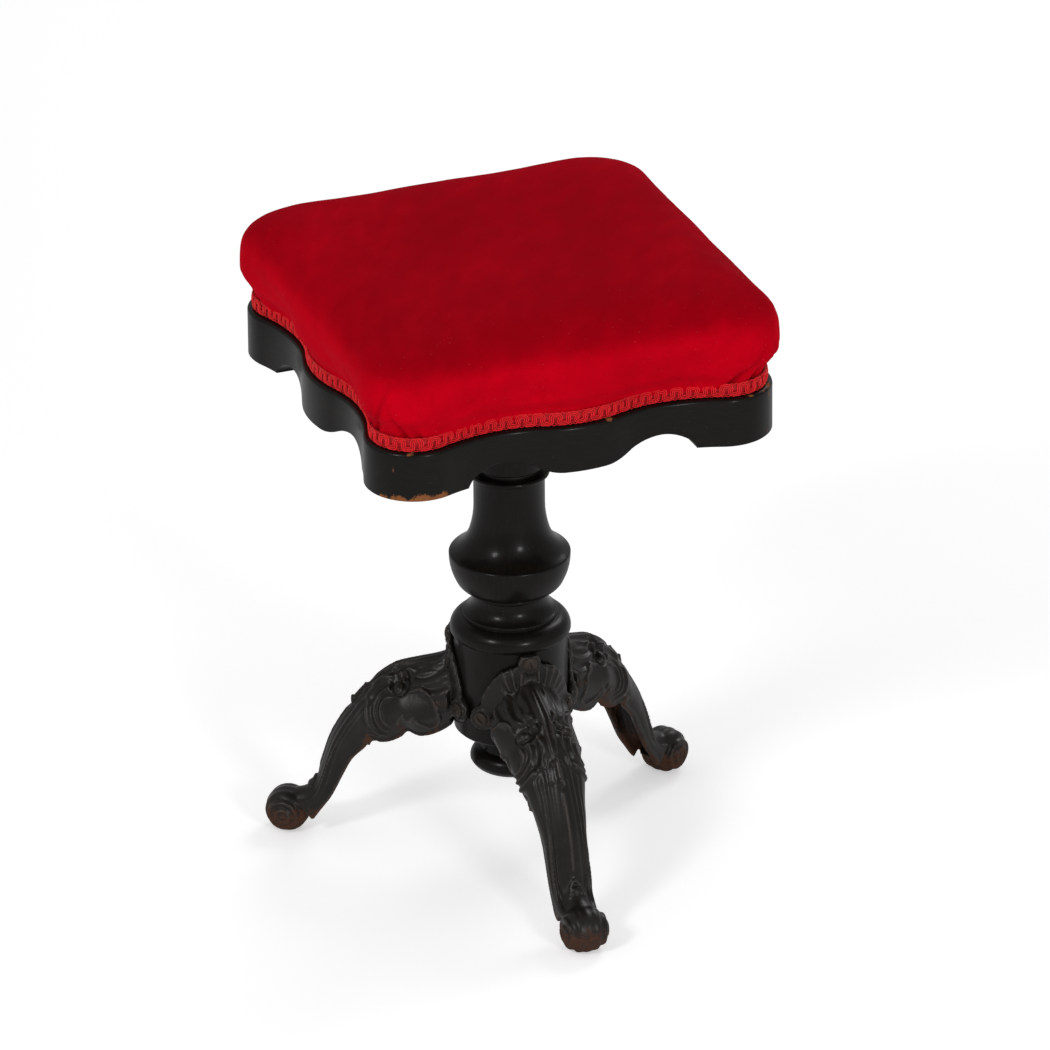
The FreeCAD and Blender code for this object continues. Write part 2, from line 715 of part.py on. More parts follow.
def leg_cut(cut, inset=0.0, drop=0.0):
    """One closed cut across the leg: open lower edge, two swelling sides and a rounded crown."""
    crown, edge, spread = leg_spot(cut[0]), leg_spot(cut[1]), cut[2]
    up = (crown - edge).normalize()
    across = FreeCAD.Vector(0, 1, 0)
    tall = (crown - edge).Length - inset
    extra = (dims.leg_hip_half.value - dims.leg_shin_half.value) * spread
    belly = dims.leg_shin_half.value + extra - inset
    lip = belly - 1.5 - extra * 0.6
    crown_half = dims.leg_crown_half.value - inset
    foot = edge - up * drop
    middle = edge + up * (tall * 0.45)
    shoulder = edge + up * (tall - crown_half * 0.5)
    sides = []
    for way in (1, -1):
        spots = (foot + across * (lip * way), middle + across * (belly * way))
        sides.append(Part.Arc(*spots, shoulder + across * (crown_half * way)).toShape())
    bottom = Part.makeLine(foot + across * lip, foot - across * lip)
    shoulders = (shoulder + across * crown_half, shoulder - across * crown_half)
    top = Part.Arc(shoulders[0], edge + up * tall, shoulders[1]).toShape()
    return Part.Wire([bottom, sides[1], top, sides[0]])


def make_saddle():
    """The plate of a leg that hugs the column, with a boss on top and an ear at each side."""
    rise, ear = dims.boss_height.value, dims.ear_height.value
    low, high = ear - 40, rise + 40
    ring = Part.makeCylinder(saddle_outer.value, high - low, FreeCAD.Vector(0, 0, low))
    depth = dims.saddle_thick.value + dims.column_radius.value
    out = FreeCAD.Vector(1, 0, 0)
    boss = Part.makeCylinder(dims.boss_radius.value, depth, FreeCAD.Vector(0, 0, rise), out)
    spread = saddle_outer.value * math.sin(math.radians(dims.ear_angle.value))
    neck, drop = dims.boss_radius.value, dims.ear_radius.value

    def edges_of(way):
        spots = [
            (neck, rise - 2),
            (spread * 0.36, rise - 4),
            (spread * 0.62, rise - 7),
            (spread * 0.88, rise - 19),
            (spread, rise - 36),
            (spread * 1.02, (rise - 36 + ear) / 2),
            (spread, ear),
            (spread * 0.7, ear - drop),
            (0, ear - drop - 5),
        ]
        spots = [FreeCAD.Vector(0, y * way, z) for y, z in spots]
        return [Part.Arc(*spots[k : k + 3]).toShape() for k in (0, 2, 4, 6)]

    top = Part.makeLine(FreeCAD.Vector(0, -neck, rise - 2), FreeCAD.Vector(0, neck, rise - 2))
    outline = Part.Wire(Part.__sortEdges__([top] + edges_of(1) + edges_of(-1)))
    shield = Part.Face(outline).extrude(out * depth)
    plate = boss.fuse(shield)
    knobs = []
    for turn, height in leg_screw_spots():
        place = radial_place(turn.value, 0, height.value)
        if turn.value:
            ear_disc = Part.makeCylinder(drop, depth)
            ear_disc.Placement = place
            plate = plate.fuse(ear_disc)
        knob = Part.makeCylinder(dims.leg_screw_head.value + 2.2, head_seat.value)
        knob.Placement = place
        knobs.append(knob)
    return ring.common(plate).multiFuse(knobs)


def make_foot():
    """The rolled foot: five ribs side by side round a level axis, flat where it stands."""
    ribs = 5
    half, ball = dims.foot_half.value, dims.foot_ball.value
    middle = FreeCAD.Vector(dims.leg_reach.value, 0, dims.foot_rise.value)

    def spot(share, extra=0.0):
        reach = ball * (1 - abs(share) ** 2.3) ** 0.5 + extra
        return middle + FreeCAD.Vector(0, half * share, reach)

    last = 0.94
    shares = [last * (2 * k / ribs - 1) for k in range(ribs + 1)]
    edges = []
    for a, b in zip(shares, shares[1:]):
        edges.append(Part.Arc(spot(a), spot((a + b) / 2, 0.5), spot(b)).toShape())
    ends = [middle + FreeCAD.Vector(0, half * last * way, 0) for way in (1, -1)]
    edges.append(Part.makeLine(spot(last), ends[0]))
    edges.append(Part.makeLine(ends[0], ends[1]))
    edges.append(Part.makeLine(ends[1], spot(-last)))
    roll = Part.Face(Part.Wire(edges)).revolve(middle, FreeCAD.Vector(0, 1, 0), 360)
    below = Part.makeBox(4 * ball, 4 * half, ball, FreeCAD.Vector(middle.x - 2 * ball, -2 * half, -ball))
    return roll.cut(below)


def foot_hollow():
    """The space inside the rolled foot."""
    wall = dims.leg_wall.value
    across = FreeCAD.Vector(0, 1, 0)
    middle = FreeCAD.Vector(dims.leg_reach.value, 0, dims.foot_rise.value)
    radius, half = dims.foot_ball.value - wall - 1.0, dims.foot_half.value - wall - 3.0
    return Part.makeCylinder(radius, 2 * half, middle - across * half, across)


def make_leg_shape():
    """A whole leg, pointing along +X."""
    body = Part.makeLoft([leg_cut(cut) for cut in LEG_CUTS], True, False)
    wall = dims.leg_wall.value
    hollow = Part.makeLoft([leg_cut(cut, wall, 12.0) for cut in LEG_CUTS], True, True)
    foot = make_foot()
    leg = body.fuse(make_saddle()).fuse(foot)
    leg = leg.cut(hollow).cut(foot_hollow())
    tall = dims.column_top.value
    drum = Part.makeCylinder(saddle_inner.value, tall)
    under_collar = (dims.collar_height - 5.4 - dims.rest_gap).value
    collar_reach = (dims.collar_radius + dims.rest_gap).value
    collar = Part.makeCylinder(collar_reach, tall, FreeCAD.Vector(0, 0, under_collar))
    leg = leg.cut(drum.fuse(collar))
    for turn, height in leg_screw_spots():
        hole = Part.makeCylinder((dims.leg_screw_shank + dims.fit_gap).value, tall)
        hole.Placement = radial_place(turn.value, 0, height.value)
        leg = leg.cut(hole)
    return leg.removeSplitter()


def make_leg(number, shape):
    node = doc.addObject("Part::Feature", f"leg_{number + 1}")
    node.Label = f"leg_{number + 1}"
    node.Shape = shape
    spin = FreeCAD.Rotation(FreeCAD.Vector(0, 0, 1), leg_azimuth(number))
    node.Placement = FreeCAD.Placement(FreeCAD.Vector(), spin)
    return node


def outline_wire(half, corner, valley, middle, height):
    """The seat's wavy outline as a closed wire of arcs at a height."""
    points = side_points(*(Dim.of(size) for size in (half, corner, valley, middle)))
    plain = [(x.value, y.value, bend.value if bend else 0, side) for x, y, bend, side in points]
    plain += [(-x, y, 0, 0) for x, y, _, _ in plain[2::-1]]
    bends = [point[2:] for point in plain[1:5]] + [plain[3][2:], plain[2][2:], plain[1][2:]]
    edges = []
    for quarter in range(SIDE_COUNT):
        spin = FreeCAD.Rotation(FreeCAD.Vector(0, 0, 1), 90 * quarter + dims.seat_turn.value)
        for (x0, y0, _, _), (x1, y1, _, _), (bend, side) in zip(plain, plain[1:], bends):
            here, there = FreeCAD.Vector(x0, y0, height), FreeCAD.Vector(x1, y1, height)
            run = (there - here).Length
            along = (there - here).normalize()
            left = FreeCAD.Vector(-along.y, along.x, 0)
            belly = bend - math.sqrt(bend**2 - run**2 / 4)
            top = (here + there) * 0.5 + left * (belly * side)
            edges.append(Part.Arc(*(spin.multVec(p) for p in (here, top, there))).toShape())
    return Part.Wire(edges)


# Steps over the cushion's shoulder, in degrees, and how boxy that shoulder is
CROWN_TURNS = (0, 5, 16, 32, 50, 68, 82)
CROWN_POWER = 0.42
# Share of the waves that is left on the crown
WAVE_REST = 0.03


def wave_sizes(half, fade=1.0):
    """Corner radius, hollows and middle swell of an outline inside the frame's."""
    share = half / dims.seat_half.value
    waves = (dims.seat_valley.value * share**3 * fade, dims.seat_middle.value * share**3 * fade)
    return (dims.seat_corner.value * min(share, 1.0) ** 0.6, *waves)


def cushion_form(skin):
    """The crowned cushion, inside its outer face by skin: drawn in at its foot, fattest over the
    frame's edge, and rounded off to a crown where its corners widen and its waves fade."""
    gap = dims.rest_gap.value
    foot = dims.seat_half.value - dims.ledge_width.value - dims.gimp_thick.value - gap - skin
    widest = dims.seat_half.value + dims.cushion_bulge.value - skin
    base = dims.frame_top.value + gap
    braid, swell = dims.gimp_depth.value + gap, dims.cushion_swell.value
    crown = dims.cushion_height.value - gap - skin - swell
    wires = [
        outline_wire(foot, *wave_sizes(foot), base),
        outline_wire(foot + 1.0, *wave_sizes(foot + 1.0), base + braid),
    ]
    middle = foot + (widest - foot) * 0.75
    wires.append(outline_wire(middle, *wave_sizes(middle), base + (braid + swell) / 2))
    for turn in CROWN_TURNS:
        angle = math.radians(turn)
        share, up = math.cos(angle) ** CROWN_POWER, math.sin(angle) ** CROWN_POWER
        _, valley, swelling = wave_sizes(widest * share, share**4 * (1 - up) ** 3 + WAVE_REST)
        corner = dims.cushion_corner.value * (2 - share)
        wires.append(outline_wire(widest * share, corner, valley, swelling, base + swell + crown * up))
    return Part.makeLoft(wires, True, True)


def make_soft(name, shape):
    node = doc.addObject("Part::Feature", name)
    node.Label = name
    node.Shape = shape
    return node


def make_gimp():
    """The braid round the cushion's foot, on the frame."""
    outer = dims.seat_half.value - dims.ledge_width.value
    base = dims.frame_top.value + 0.05
    loops = []
    for inset in (0.0, dims.gimp_thick.value):
        loops.append(outline_wire(outer - inset, *wave_sizes(outer - inset), base))
    ring = Part.Face(loops[0]).cut(Part.Face(loops[1]))
    return make_soft("gimp_braid", ring.extrude(FreeCAD.Vector(0, 0, dims.gimp_depth.value)))


column = make_column()
drop = make_drop()
nut = make_spindle_nut()
spindle = make_spindle()
washer = make_stop_washer()
stop_nut = make_stop_nut()
plate = make_plate()
hub = make_hub()
board = make_board()
rails = [make_rail(k) for k in range(SIDE_COUNT)]
blocks = [make_block(k) for k in range(SIDE_COUNT)]
leg_screw = make_screw(
    "leg_screw_form", dims.leg_screw_head, dims.leg_screw_dome, dims.leg_screw_shank, dims.leg_screw_length
)
small_screw = make_screw(
    "small_screw_form",
    dims.small_screw_head,
    dims.small_screw_dome,
    dims.small_screw_shank,
    dims.small_screw_length,
)
doc.recompute()

nodes = [column, drop, nut, spindle, washer, stop_nut, plate, hub, board] + rails + blocks

leg_shape = make_leg_shape()
for k in range(LEG_COUNT):
    nodes.append(make_leg(k, leg_shape))
    seat = head_seat.value + 0.05
    places = [
        radial_place(leg_azimuth(k) + turn.value, seat, height.value) for turn, height in leg_screw_spots()
    ]
    nodes.append(placed_copies(f"leg_{k + 1}_upper_screw", leg_screw.Shape, places[:1]))
    nodes.append(placed_copies(f"leg_{k + 1}_ear_screws", leg_screw.Shape, places[1:]))

upward = FreeCAD.Rotation(FreeCAD.Vector(1, 0, 0), 180)
seat_spin = FreeCAD.Rotation(FreeCAD.Vector(0, 0, 1), dims.seat_turn.value)


def upward_places(spots, height):
    """Screws driven upwards into the seat."""
    return [
        FreeCAD.Placement(seat_spin.multVec(FreeCAD.Vector(x, y, height)), seat_spin.multiply(upward))
        for x, y in spots
    ]


spot = dims.plate_screw_spot.value
nodes.append(
    placed_copies(
        "plate_screws",
        small_screw.Shape,
        upward_places([(spot, 0), (-spot, 0), (0, spot), (0, -spot)], plate_bottom.value - 0.05),
    )
)
block = block_spot().value
block_foot = board_bottom.value - 0.05 - dims.block_depth.value - 0.05
nodes.append(
    placed_copies(
        "block_screws",
        small_screw.Shape,
        upward_places([(block, block), (-block, block), (-block, -block), (block, -block)], block_foot),
    )
)
outer_form = cushion_form(0.0)
inner_form = cushion_form(dims.cover_thick.value)
nodes.append(make_soft("velvet_cover", outer_form.cut(inner_form)))
nodes.append(make_soft("cushion_stuffing", cushion_form(dims.cover_thick.value + 0.2)))
nodes.append(make_gimp())

doc.recompute()
for obj in doc.Objects:
    if "Invalid" in obj.State or "Error" in obj.State:
        raise RuntimeError(f"{obj.Label}: {obj.State}")
os.makedirs("parts", exist_ok=True)
for node in nodes:
    if node.Shape.isNull() or not node.Shape.isValid():
        raise RuntimeError(f"{node.Label} has no valid shape")
    node.Shape.exportStep(f"parts/{node.Label}.step")
    print(f"{node.Label}: {len(node.Shape.Solids)} solids, {node.Shape.Volume / 1000:.1f} cm3")
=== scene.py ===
"""A revolving piano stool: velvet cushion, ebonised frame and column, and three carved iron legs."""

import logging
import math
from dataclasses import dataclass, replace
from enum import Enum

import bmesh
import bpy
import numpy as np
from mathutils import Matrix, Vector, noise


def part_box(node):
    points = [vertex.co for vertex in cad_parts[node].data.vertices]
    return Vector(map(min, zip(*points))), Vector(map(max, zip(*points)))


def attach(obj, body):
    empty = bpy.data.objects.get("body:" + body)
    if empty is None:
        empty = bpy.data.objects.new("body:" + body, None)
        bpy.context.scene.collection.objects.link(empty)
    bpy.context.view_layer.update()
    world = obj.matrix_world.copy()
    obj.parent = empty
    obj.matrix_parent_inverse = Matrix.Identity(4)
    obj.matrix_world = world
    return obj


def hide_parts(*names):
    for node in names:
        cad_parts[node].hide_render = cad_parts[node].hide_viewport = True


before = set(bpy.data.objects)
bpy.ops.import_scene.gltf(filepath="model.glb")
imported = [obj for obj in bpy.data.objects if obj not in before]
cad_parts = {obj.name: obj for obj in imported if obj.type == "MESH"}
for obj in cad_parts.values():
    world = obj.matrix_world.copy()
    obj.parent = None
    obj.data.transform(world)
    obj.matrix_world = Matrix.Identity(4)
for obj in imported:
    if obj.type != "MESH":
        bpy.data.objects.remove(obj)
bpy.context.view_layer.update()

log = logging.getLogger("stool")
MM = 0.001
SEAT_TURN = 33.6
LEG_AZIMUTHS = (180.0, 300.0, 60.0)
EAR_TURN = 46.0
Line = tuple[tuple[float, ...], ...]
Colour = tuple[float, float, float]
FLOAT, VECTOR, WHOLE = "NodeSocketFloat", "NodeSocketVector", "NodeSocketInt"
GEOMETRY, MATERIAL = "NodeSocketGeometry", "NodeSocketMaterial"


class Body(str, Enum):
    """The bodies that pieces ride on."""

    BASE = "base"
    LIFT = "lift"
    SEAT = "seat"


class Slot(str, Enum):
    """The record's material slots."""

    EBONISED = "ebonised_wood"
    PLAIN = "plain_wood"
    IRON = "leg_iron"
    SCREW_IRON = "screw_iron"
    RUSTY = "rusty_screws"
    VELVET = "crimson_velvet"
    BRAID = "red_braid"


# Curves and points


def swept_arc(start: np.ndarray, end: np.ndarray, turn: float, step: float = 8.0) -> list[np.ndarray]:
    """Points on an arc after its start.

    Args:
        start: first point.
        end: last point.
        turn: sweep in degrees, bulging left of the way where it is positive.
        step: sweep between two points, in degrees.

    Returns:
        The points, the end included.
    """
    along = end - start
    left = np.array([-along[1], along[0]])
    half = math.radians(abs(turn)) / 2
    reach = float(np.hypot(*along)) / 2
    side = math.copysign(1.0, turn)
    centre = (start + end) / 2 - side * left / (2 * reach) * (reach / math.tan(half))
    first = math.atan2(*(start - centre)[::-1])
    radius = reach / math.sin(half)
    count = max(2, round(abs(turn) / step))
    angles = first - side * 2 * half * np.arange(1, count + 1) / count
    return [centre + radius * np.array([math.cos(a), math.sin(a)]) for a in angles]


def outline_of(steps: Line, step: float = 8.0) -> np.ndarray:
    """An outline from its corners.

    Args:
        steps: corners in millimetres, each with the turn of the arc that leads to it, or none.
        step: sweep between two points of an arc, in degrees.

    Returns:
        The outline's points in metres.
    """
    points = [np.array(steps[0][:2], float)]
    for spot in steps[1:]:
        end = np.array(spot[:2], float)
        if len(spot) == 3:
            points += swept_arc(points[-1], end, spot[2], step)
        else:
            points.append(end)
    return np.array(points) * MM


def smooth_line(points: Line | np.ndarray, count: int) -> np.ndarray:
    """An even, smooth line through points.

    Args:
        points: the given points.
        count: how many points the line gets.

    Returns:
        Points at even steps along a Catmull-Rom line.
    """
    knots = np.array(points, float)
    ends = (2 * knots[0] - knots[1], 2 * knots[-1] - knots[-2])
    knots = np.vstack([ends[0], knots, ends[1]])
    shares = np.linspace(0, 1, 12, endpoint=False)[:, None]
    parts = []
    for a, b, c, d in zip(knots, knots[1:], knots[2:], knots[3:]):
        slope = (c - a) / 2
        leave = (d - b) / 2
        square, cube = shares**2, shares**3
        parts.append(
            b * (2 * cube - 3 * square + 1)
            + slope * (cube - 2 * square + shares)
            + c * (3 * square - 2 * cube)
            + leave * (cube - square)
        )
    return even_line(np.vstack([*parts, knots[-2]]), count)


def even_line(points: np.ndarray, count: int, closing: bool = True) -> np.ndarray:
    """Points at even steps along a line.

    Args:
        points: the line.
        count: how many points are wanted.
        closing: whether the last point is one of them.

    Returns:
        The points.
    """
    steps = np.linalg.norm(np.diff(points, axis=0), axis=1)
    ways = np.concatenate([[0], np.cumsum(steps)])
    wanted = np.linspace(0, ways[-1], count, endpoint=closing)
    return np.column_stack([np.interp(wanted, ways, points[:, k]) for k in range(points.shape[1])])


def nearest_on(points: np.ndarray, line: np.ndarray) -> tuple[np.ndarray, np.ndarray]:
    """How far points are from a line.

    Args:
        points: places in a plane.
        line: the line's points.

    Returns:
        The distance of each point, and how far along the line its nearest place is.
    """
    best = np.full(len(points), 1e9)
    where = np.zeros(len(points))
    gone = 0.0
    for a, b in zip(line, line[1:]):
        way = b - a
        length = float(np.hypot(*way))
        share = np.clip((points - a) @ way / max(length**2, 1e-12), 0, 1)
        gap = np.linalg.norm(points - a - share[:, None] * way, axis=1)
        nearer = gap < best
        best = np.where(nearer, gap, best)
        where = np.where(nearer, gone + share * length, where)
        gone += length
    return best, where


def smooth_step(values: np.ndarray, low: float, high: float) -> np.ndarray:
    """A soft change from 0 at low to 1 at high."""
    share = np.clip((values - low) / (high - low), 0, 1)
    return share * share * (3 - 2 * share)


def turn_about_axis(points: np.ndarray, degrees: float) -> np.ndarray:
    """Points turned about the stool's axis."""
    angle = math.radians(degrees)
    spin = np.array([[math.cos(angle), -math.sin(angle)], [math.sin(angle), math.cos(angle)]])
    turned = points.copy()
    turned[:, :2] = points[:, :2] @ spin.T
    return turned


def screw_places(boss_level: float, ear_level: float) -> tuple[tuple[float, float], ...]:
    """Turn and level of a leg's three screws: boss, left ear and right ear."""
    return (0.0, boss_level), (EAR_TURN, ear_level), (-EAR_TURN, ear_level)


def ring_at(radius: float | np.ndarray, angles: np.ndarray, level: float) -> np.ndarray:
    """Points round the axis at one level."""
    return np.column_stack([radius * np.cos(angles), radius * np.sin(angles), np.full(len(angles), level)])


def round_angles(count: int) -> np.ndarray:
    """Even directions of a full turn."""
    return 2 * math.pi * np.arange(count) / count


def lying_ring(radius: float, angles: np.ndarray, across: float, middle: tuple[float, float]) -> np.ndarray:
    """Points of an upright circle that looks along Y."""
    along, level = middle
    upright = level + radius * np.sin(angles)
    return np.column_stack([along + radius * np.cos(angles), np.full(len(angles), across), upright])


def cap_faces(rows: int, columns: int) -> list[tuple[int, ...]]:
    """The two end faces of a grid whose rows are closed rings."""
    return [tuple(range(columns)), tuple(range((rows - 1) * columns, rows * columns))]


# Meshes


def grid_faces(rows: int, columns: int, round_rows: bool = False, round_columns: bool = False) -> list:
    """Quads over a grid of points that is stored row by row.

    Args:
        rows: number of rows.
        columns: number of points in a row.
        round_rows: whether the last row meets the first.
        round_columns: whether a row's last point meets its first.

    Returns:
        The faces, as tuples of point numbers.
    """
    faces = []
    for r in range(rows if round_rows else rows - 1):
        low, high = r * columns, (r + 1) % rows * columns
        for c in range(columns if round_columns else columns - 1):
            after = (c + 1) % columns
            faces.append((low + c, low + after, high + after, high + c))
    return faces


def linked(name: str, data: bpy.types.ID) -> bpy.types.Object:
    """A new object of the scene with its data."""
    piece = bpy.data.objects.new(name, data)
    bpy.context.scene.collection.objects.link(piece)
    return piece


def new_piece(name: str, points: np.ndarray, faces: list, smooth: bool = True) -> bpy.types.Object:
    """A mesh object at the origin, with its faces turned outwards.

    Args:
        name: the piece's name.
        points: its points in metres.
        faces: its faces.
        smooth: whether its faces are shaded smooth.

    Returns:
        The linked object.
    """
    mesh = bpy.data.meshes.new(name)
    mesh.from_pydata([tuple(p) for p in points], [], faces)
    work = bmesh.new()
    work.from_mesh(mesh)
    bmesh.ops.remove_doubles(work, verts=work.verts, dist=1e-7)
    bmesh.ops.recalc_face_normals(work, faces=work.faces)
    work.to_mesh(mesh)
    work.free()
    if smooth:
        mesh.shade_smooth()
    return linked(name, mesh)


def spun(name: str, outline: np.ndarray, segments: int = 128) -> bpy.types.Object:
    """A turned piece from half of its section.

    Args:
        name: the piece's name.
        outline: radius and height of each point, as a closed loop.
        segments: steps round the axis.

    Returns:
        The piece.
    """
    angles = round_angles(segments)
    radii, heights = outline[:, 0:1], outline[:, 1:2]
    grid = np.stack([radii * np.cos(angles), radii * np.sin(angles), heights + 0 * angles], axis=2)
    faces = grid_faces(len(outline), segments, True, True)
    return new_piece(name, grid.reshape(-1, 3), faces)


def settle(piece: bpy.types.Object) -> bpy.types.Object:
    """Keeps the result of a piece's modifiers as its plain mesh."""
    evaluated = piece.evaluated_get(bpy.context.evaluated_depsgraph_get())
    mesh = bpy.data.meshes.new_from_object(evaluated)
    piece.modifiers.clear()
    piece.data = mesh
    return piece


def soften_edges(piece: bpy.types.Object, width: float, angle: float = 28.0) -> None:
    """Rounds the sharp edges of a piece.

    Args:
        piece: the piece.
        width: width of the rounding in metres.
        angle: least turn of an edge that is rounded, in degrees.
    """
    bevel = piece.modifiers.new("arris", "BEVEL")
    bevel.width = width
    bevel.segments = 2
    bevel.limit_method = "ANGLE"
    bevel.angle_limit = math.radians(angle)
    bevel.harden_normals = False
    settle(piece)
    piece.data.shade_smooth()


def points_of(mesh: bpy.types.Mesh) -> np.ndarray:
    """The places of a mesh's points."""
    flat = np.empty(len(mesh.vertices) * 3, np.float32)
    mesh.vertices.foreach_get("co", flat)
    return flat.reshape(-1, 3).astype(float)


def normals_of(mesh: bpy.types.Mesh) -> np.ndarray:
    """The normals of a mesh's points."""
    flat = np.empty(len(mesh.vertices) * 3, np.float32)
    mesh.vertex_normals.foreach_get("vector", flat)
    return flat.reshape(-1, 3).astype(float)


def place_points(mesh: bpy.types.Mesh, points: np.ndarray) -> None:
    """Moves a mesh's points."""
    mesh.vertices.foreach_set("co", points.astype(np.float32).ravel())
    mesh.update()


def paint(mesh: bpy.types.Mesh, name: str, values: np.ndarray) -> None:
    """Stores a value on each point of a mesh."""
    layer = mesh.attributes.new(name, "FLOAT", "POINT")
    layer.data.foreach_set("value", values.astype(np.float32))


def mark_edges(piece: bpy.types.Object, gain: float = 3.0) -> None:
    """Stores how exposed each point of a piece is, for wear on its edges.

    Args:
        piece: the piece.
        gain: how fast a bulge counts as an edge.
    """
    mesh = piece.data
    points, normals = points_of(mesh), normals_of(mesh)
    flat = np.empty(len(mesh.edges) * 2, np.int32)
    mesh.edges.foreach_get("vertices", flat)
    ends = flat.reshape(-1, 2)
    ways = points[ends[:, 1]] - points[ends[:, 0]]
    ways /= np.maximum(np.linalg.norm(ways, axis=1), 1e-9)[:, None]
    total, count = np.zeros(len(points)), np.zeros(len(points))
    for column, side in ((0, -1), (1, 1)):
        np.add.at(total, ends[:, column], side * np.einsum("ij,ij->i", normals[ends[:, column]], ways))
        np.add.at(count, ends[:, column], 1)
    paint(mesh, "edge", np.clip(gain * total / np.maximum(count, 1), 0, 1))


# Node trees


class Wiring:
    """Adds nodes to one tree and joins them."""

    def __init__(self, tree: bpy.types.NodeTree) -> None:
        """Keeps the tree."""
        self.tree = tree

    def add(self, kind: str, inputs: dict | None = None, **settings: object) -> bpy.types.Node:
        """Adds a node.

        Args:
            kind: the node's type.
            inputs: plain values or sockets for its inputs, by name or number.
            settings: its own properties.

        Returns:
            The node.
        """
        node = self.tree.nodes.new(kind)
        for key, value in settings.items():
            setattr(node, key, value)
        self.feed(node, inputs or {})
        return node

    def feed(self, node: bpy.types.Node, inputs: dict) -> None:
        """Gives a node plain values or sockets for its inputs.

        Args:
            node: the node.
            inputs: the values or sockets, by name or number of the input.
        """
        for key, value in inputs.items():
            if isinstance(value, bpy.types.NodeSocket):
                self.tree.links.new(value, node.inputs[key])
            else:
                node.inputs[key].default_value = value

    def math(self, operation: str, *values: object) -> bpy.types.NodeSocket:
        """A sum of numbers, as its output."""
        return self.add("ShaderNodeMath", dict(enumerate(values)), operation=operation).outputs[0]

    def weighed(self, *terms: tuple[object, float]) -> bpy.types.NodeSocket:
        """A sum of values, each times its weight."""
        parts = [self.math("MULTIPLY", value, weight) for value, weight in terms]
        total = parts[0]
        for part in parts[1:]:
            total = self.math("ADD", total, part)
        return total

    def stored(self, name: str) -> bpy.types.NodeSocket:
        """A value that is stored on the mesh's points."""
        return self.add("ShaderNodeAttribute", attribute_name=name).outputs["Fac"]

    def here(self) -> bpy.types.NodeSocket:
        """The place on the object."""
        return self.add("ShaderNodeTexCoord").outputs["Object"]

    def vector(self, operation: str, *values: object, scale: object = None) -> bpy.types.NodeSocket:
        """A sum of vectors, as its output."""
        inputs = dict(enumerate(values))
        if scale is not None:
            inputs["Scale"] = scale
        return self.add("ShaderNodeVectorMath", inputs, operation=operation).outputs[0]

    def noise(self, where: object, scale: object, detail: float = 3.0) -> bpy.types.NodeSocket:
        """Soft noise from 0 to 1."""
        inputs = {"Vector": where, "Scale": scale, "Detail": detail}
        return self.add("ShaderNodeTexNoise", inputs).outputs[0]

    def window(self, value: object, low: object, high: object) -> bpy.types.NodeSocket:
        """A soft step of a value, from 0 at low to 1 at high."""
        inputs = {"Value": value, "From Min": low, "From Max": high}
        return self.add("ShaderNodeMapRange", inputs, interpolation_type="SMOOTHSTEP").outputs[0]

    def blend(self, share: object, first: object, second: object) -> bpy.types.NodeSocket:
        """A colour between two."""
        inputs = {0: share, 6: first, 7: second}
        return self.add("ShaderNodeMix", inputs, data_type="RGBA", clamp_factor=True).outputs[2]

    def between(self, share: object, first: object, second: object) -> bpy.types.NodeSocket:
        """A number between two."""
        return self.add("ShaderNodeMix", {0: share, 2: first, 3: second}, data_type="FLOAT").outputs[0]


def rgba(colour: Colour, gain: float = 1.0) -> tuple[float, float, float, float]:
    """A colour for a socket, brighter or darker by a gain."""
    red, green, blue = colour
    return red * gain, green * gain, blue * gain, 1.0


def new_group(name: str, kind: str, inputs: dict, outputs: dict) -> tuple[bpy.types.NodeTree, Wiring, dict]:
    """A node group with named sockets.

    Args:
        name: the group's name.
        kind: type of the tree.
        inputs: type and first value of each input, by name.
        outputs: type of each output, by name.

    Returns:
        The tree, its wiring, and the output sockets of its group input by name.
    """
    tree = bpy.data.node_groups.new(name, kind)
    for label, (socket, value) in inputs.items():
        made = tree.interface.new_socket(name=label, in_out="INPUT", socket_type=socket)
        if value is not None:
            made.default_value = value
    for label, socket in outputs.items():
        tree.interface.new_socket(name=label, in_out="OUTPUT", socket_type=socket)
    wiring = Wiring(tree)
    start = wiring.add("NodeGroupInput")
    return tree, wiring, {label: start.outputs[label] for label in inputs}


def end_group(wiring: Wiring, results: dict) -> None:
    """Joins results to a group's outputs by name."""
    wiring.add("NodeGroupOutput", results)


def worn_edges_group() -> bpy.types.NodeTree:
    """Patchy wear that starts on exposed edges."""
    tree, wire, given = new_group(
        "worn_edges",
        "ShaderNodeTree",
        {
            "Edge": (FLOAT, 0.0),
            "Amount": (FLOAT, 0.5),
            "Patch Scale": (FLOAT, 90.0),
            "Place": (VECTOR, None),
        },
        {"Mask": FLOAT},
    )
    broad = wire.noise(given["Place"], given["Patch Scale"], 4.0)
    fine = wire.noise(given["Place"], wire.math("MULTIPLY", given["Patch Scale"], 9.0), 2.0)
    ragged = wire.weighed((broad, 0.75), (fine, 0.25))
    reach = wire.math("MULTIPLY", given["Edge"], given["Amount"])
    level = wire.math("ADD", reach, ragged)
    end_group(wire, {"Mask": wire.window(level, 0.86, 0.98)})
    return tree


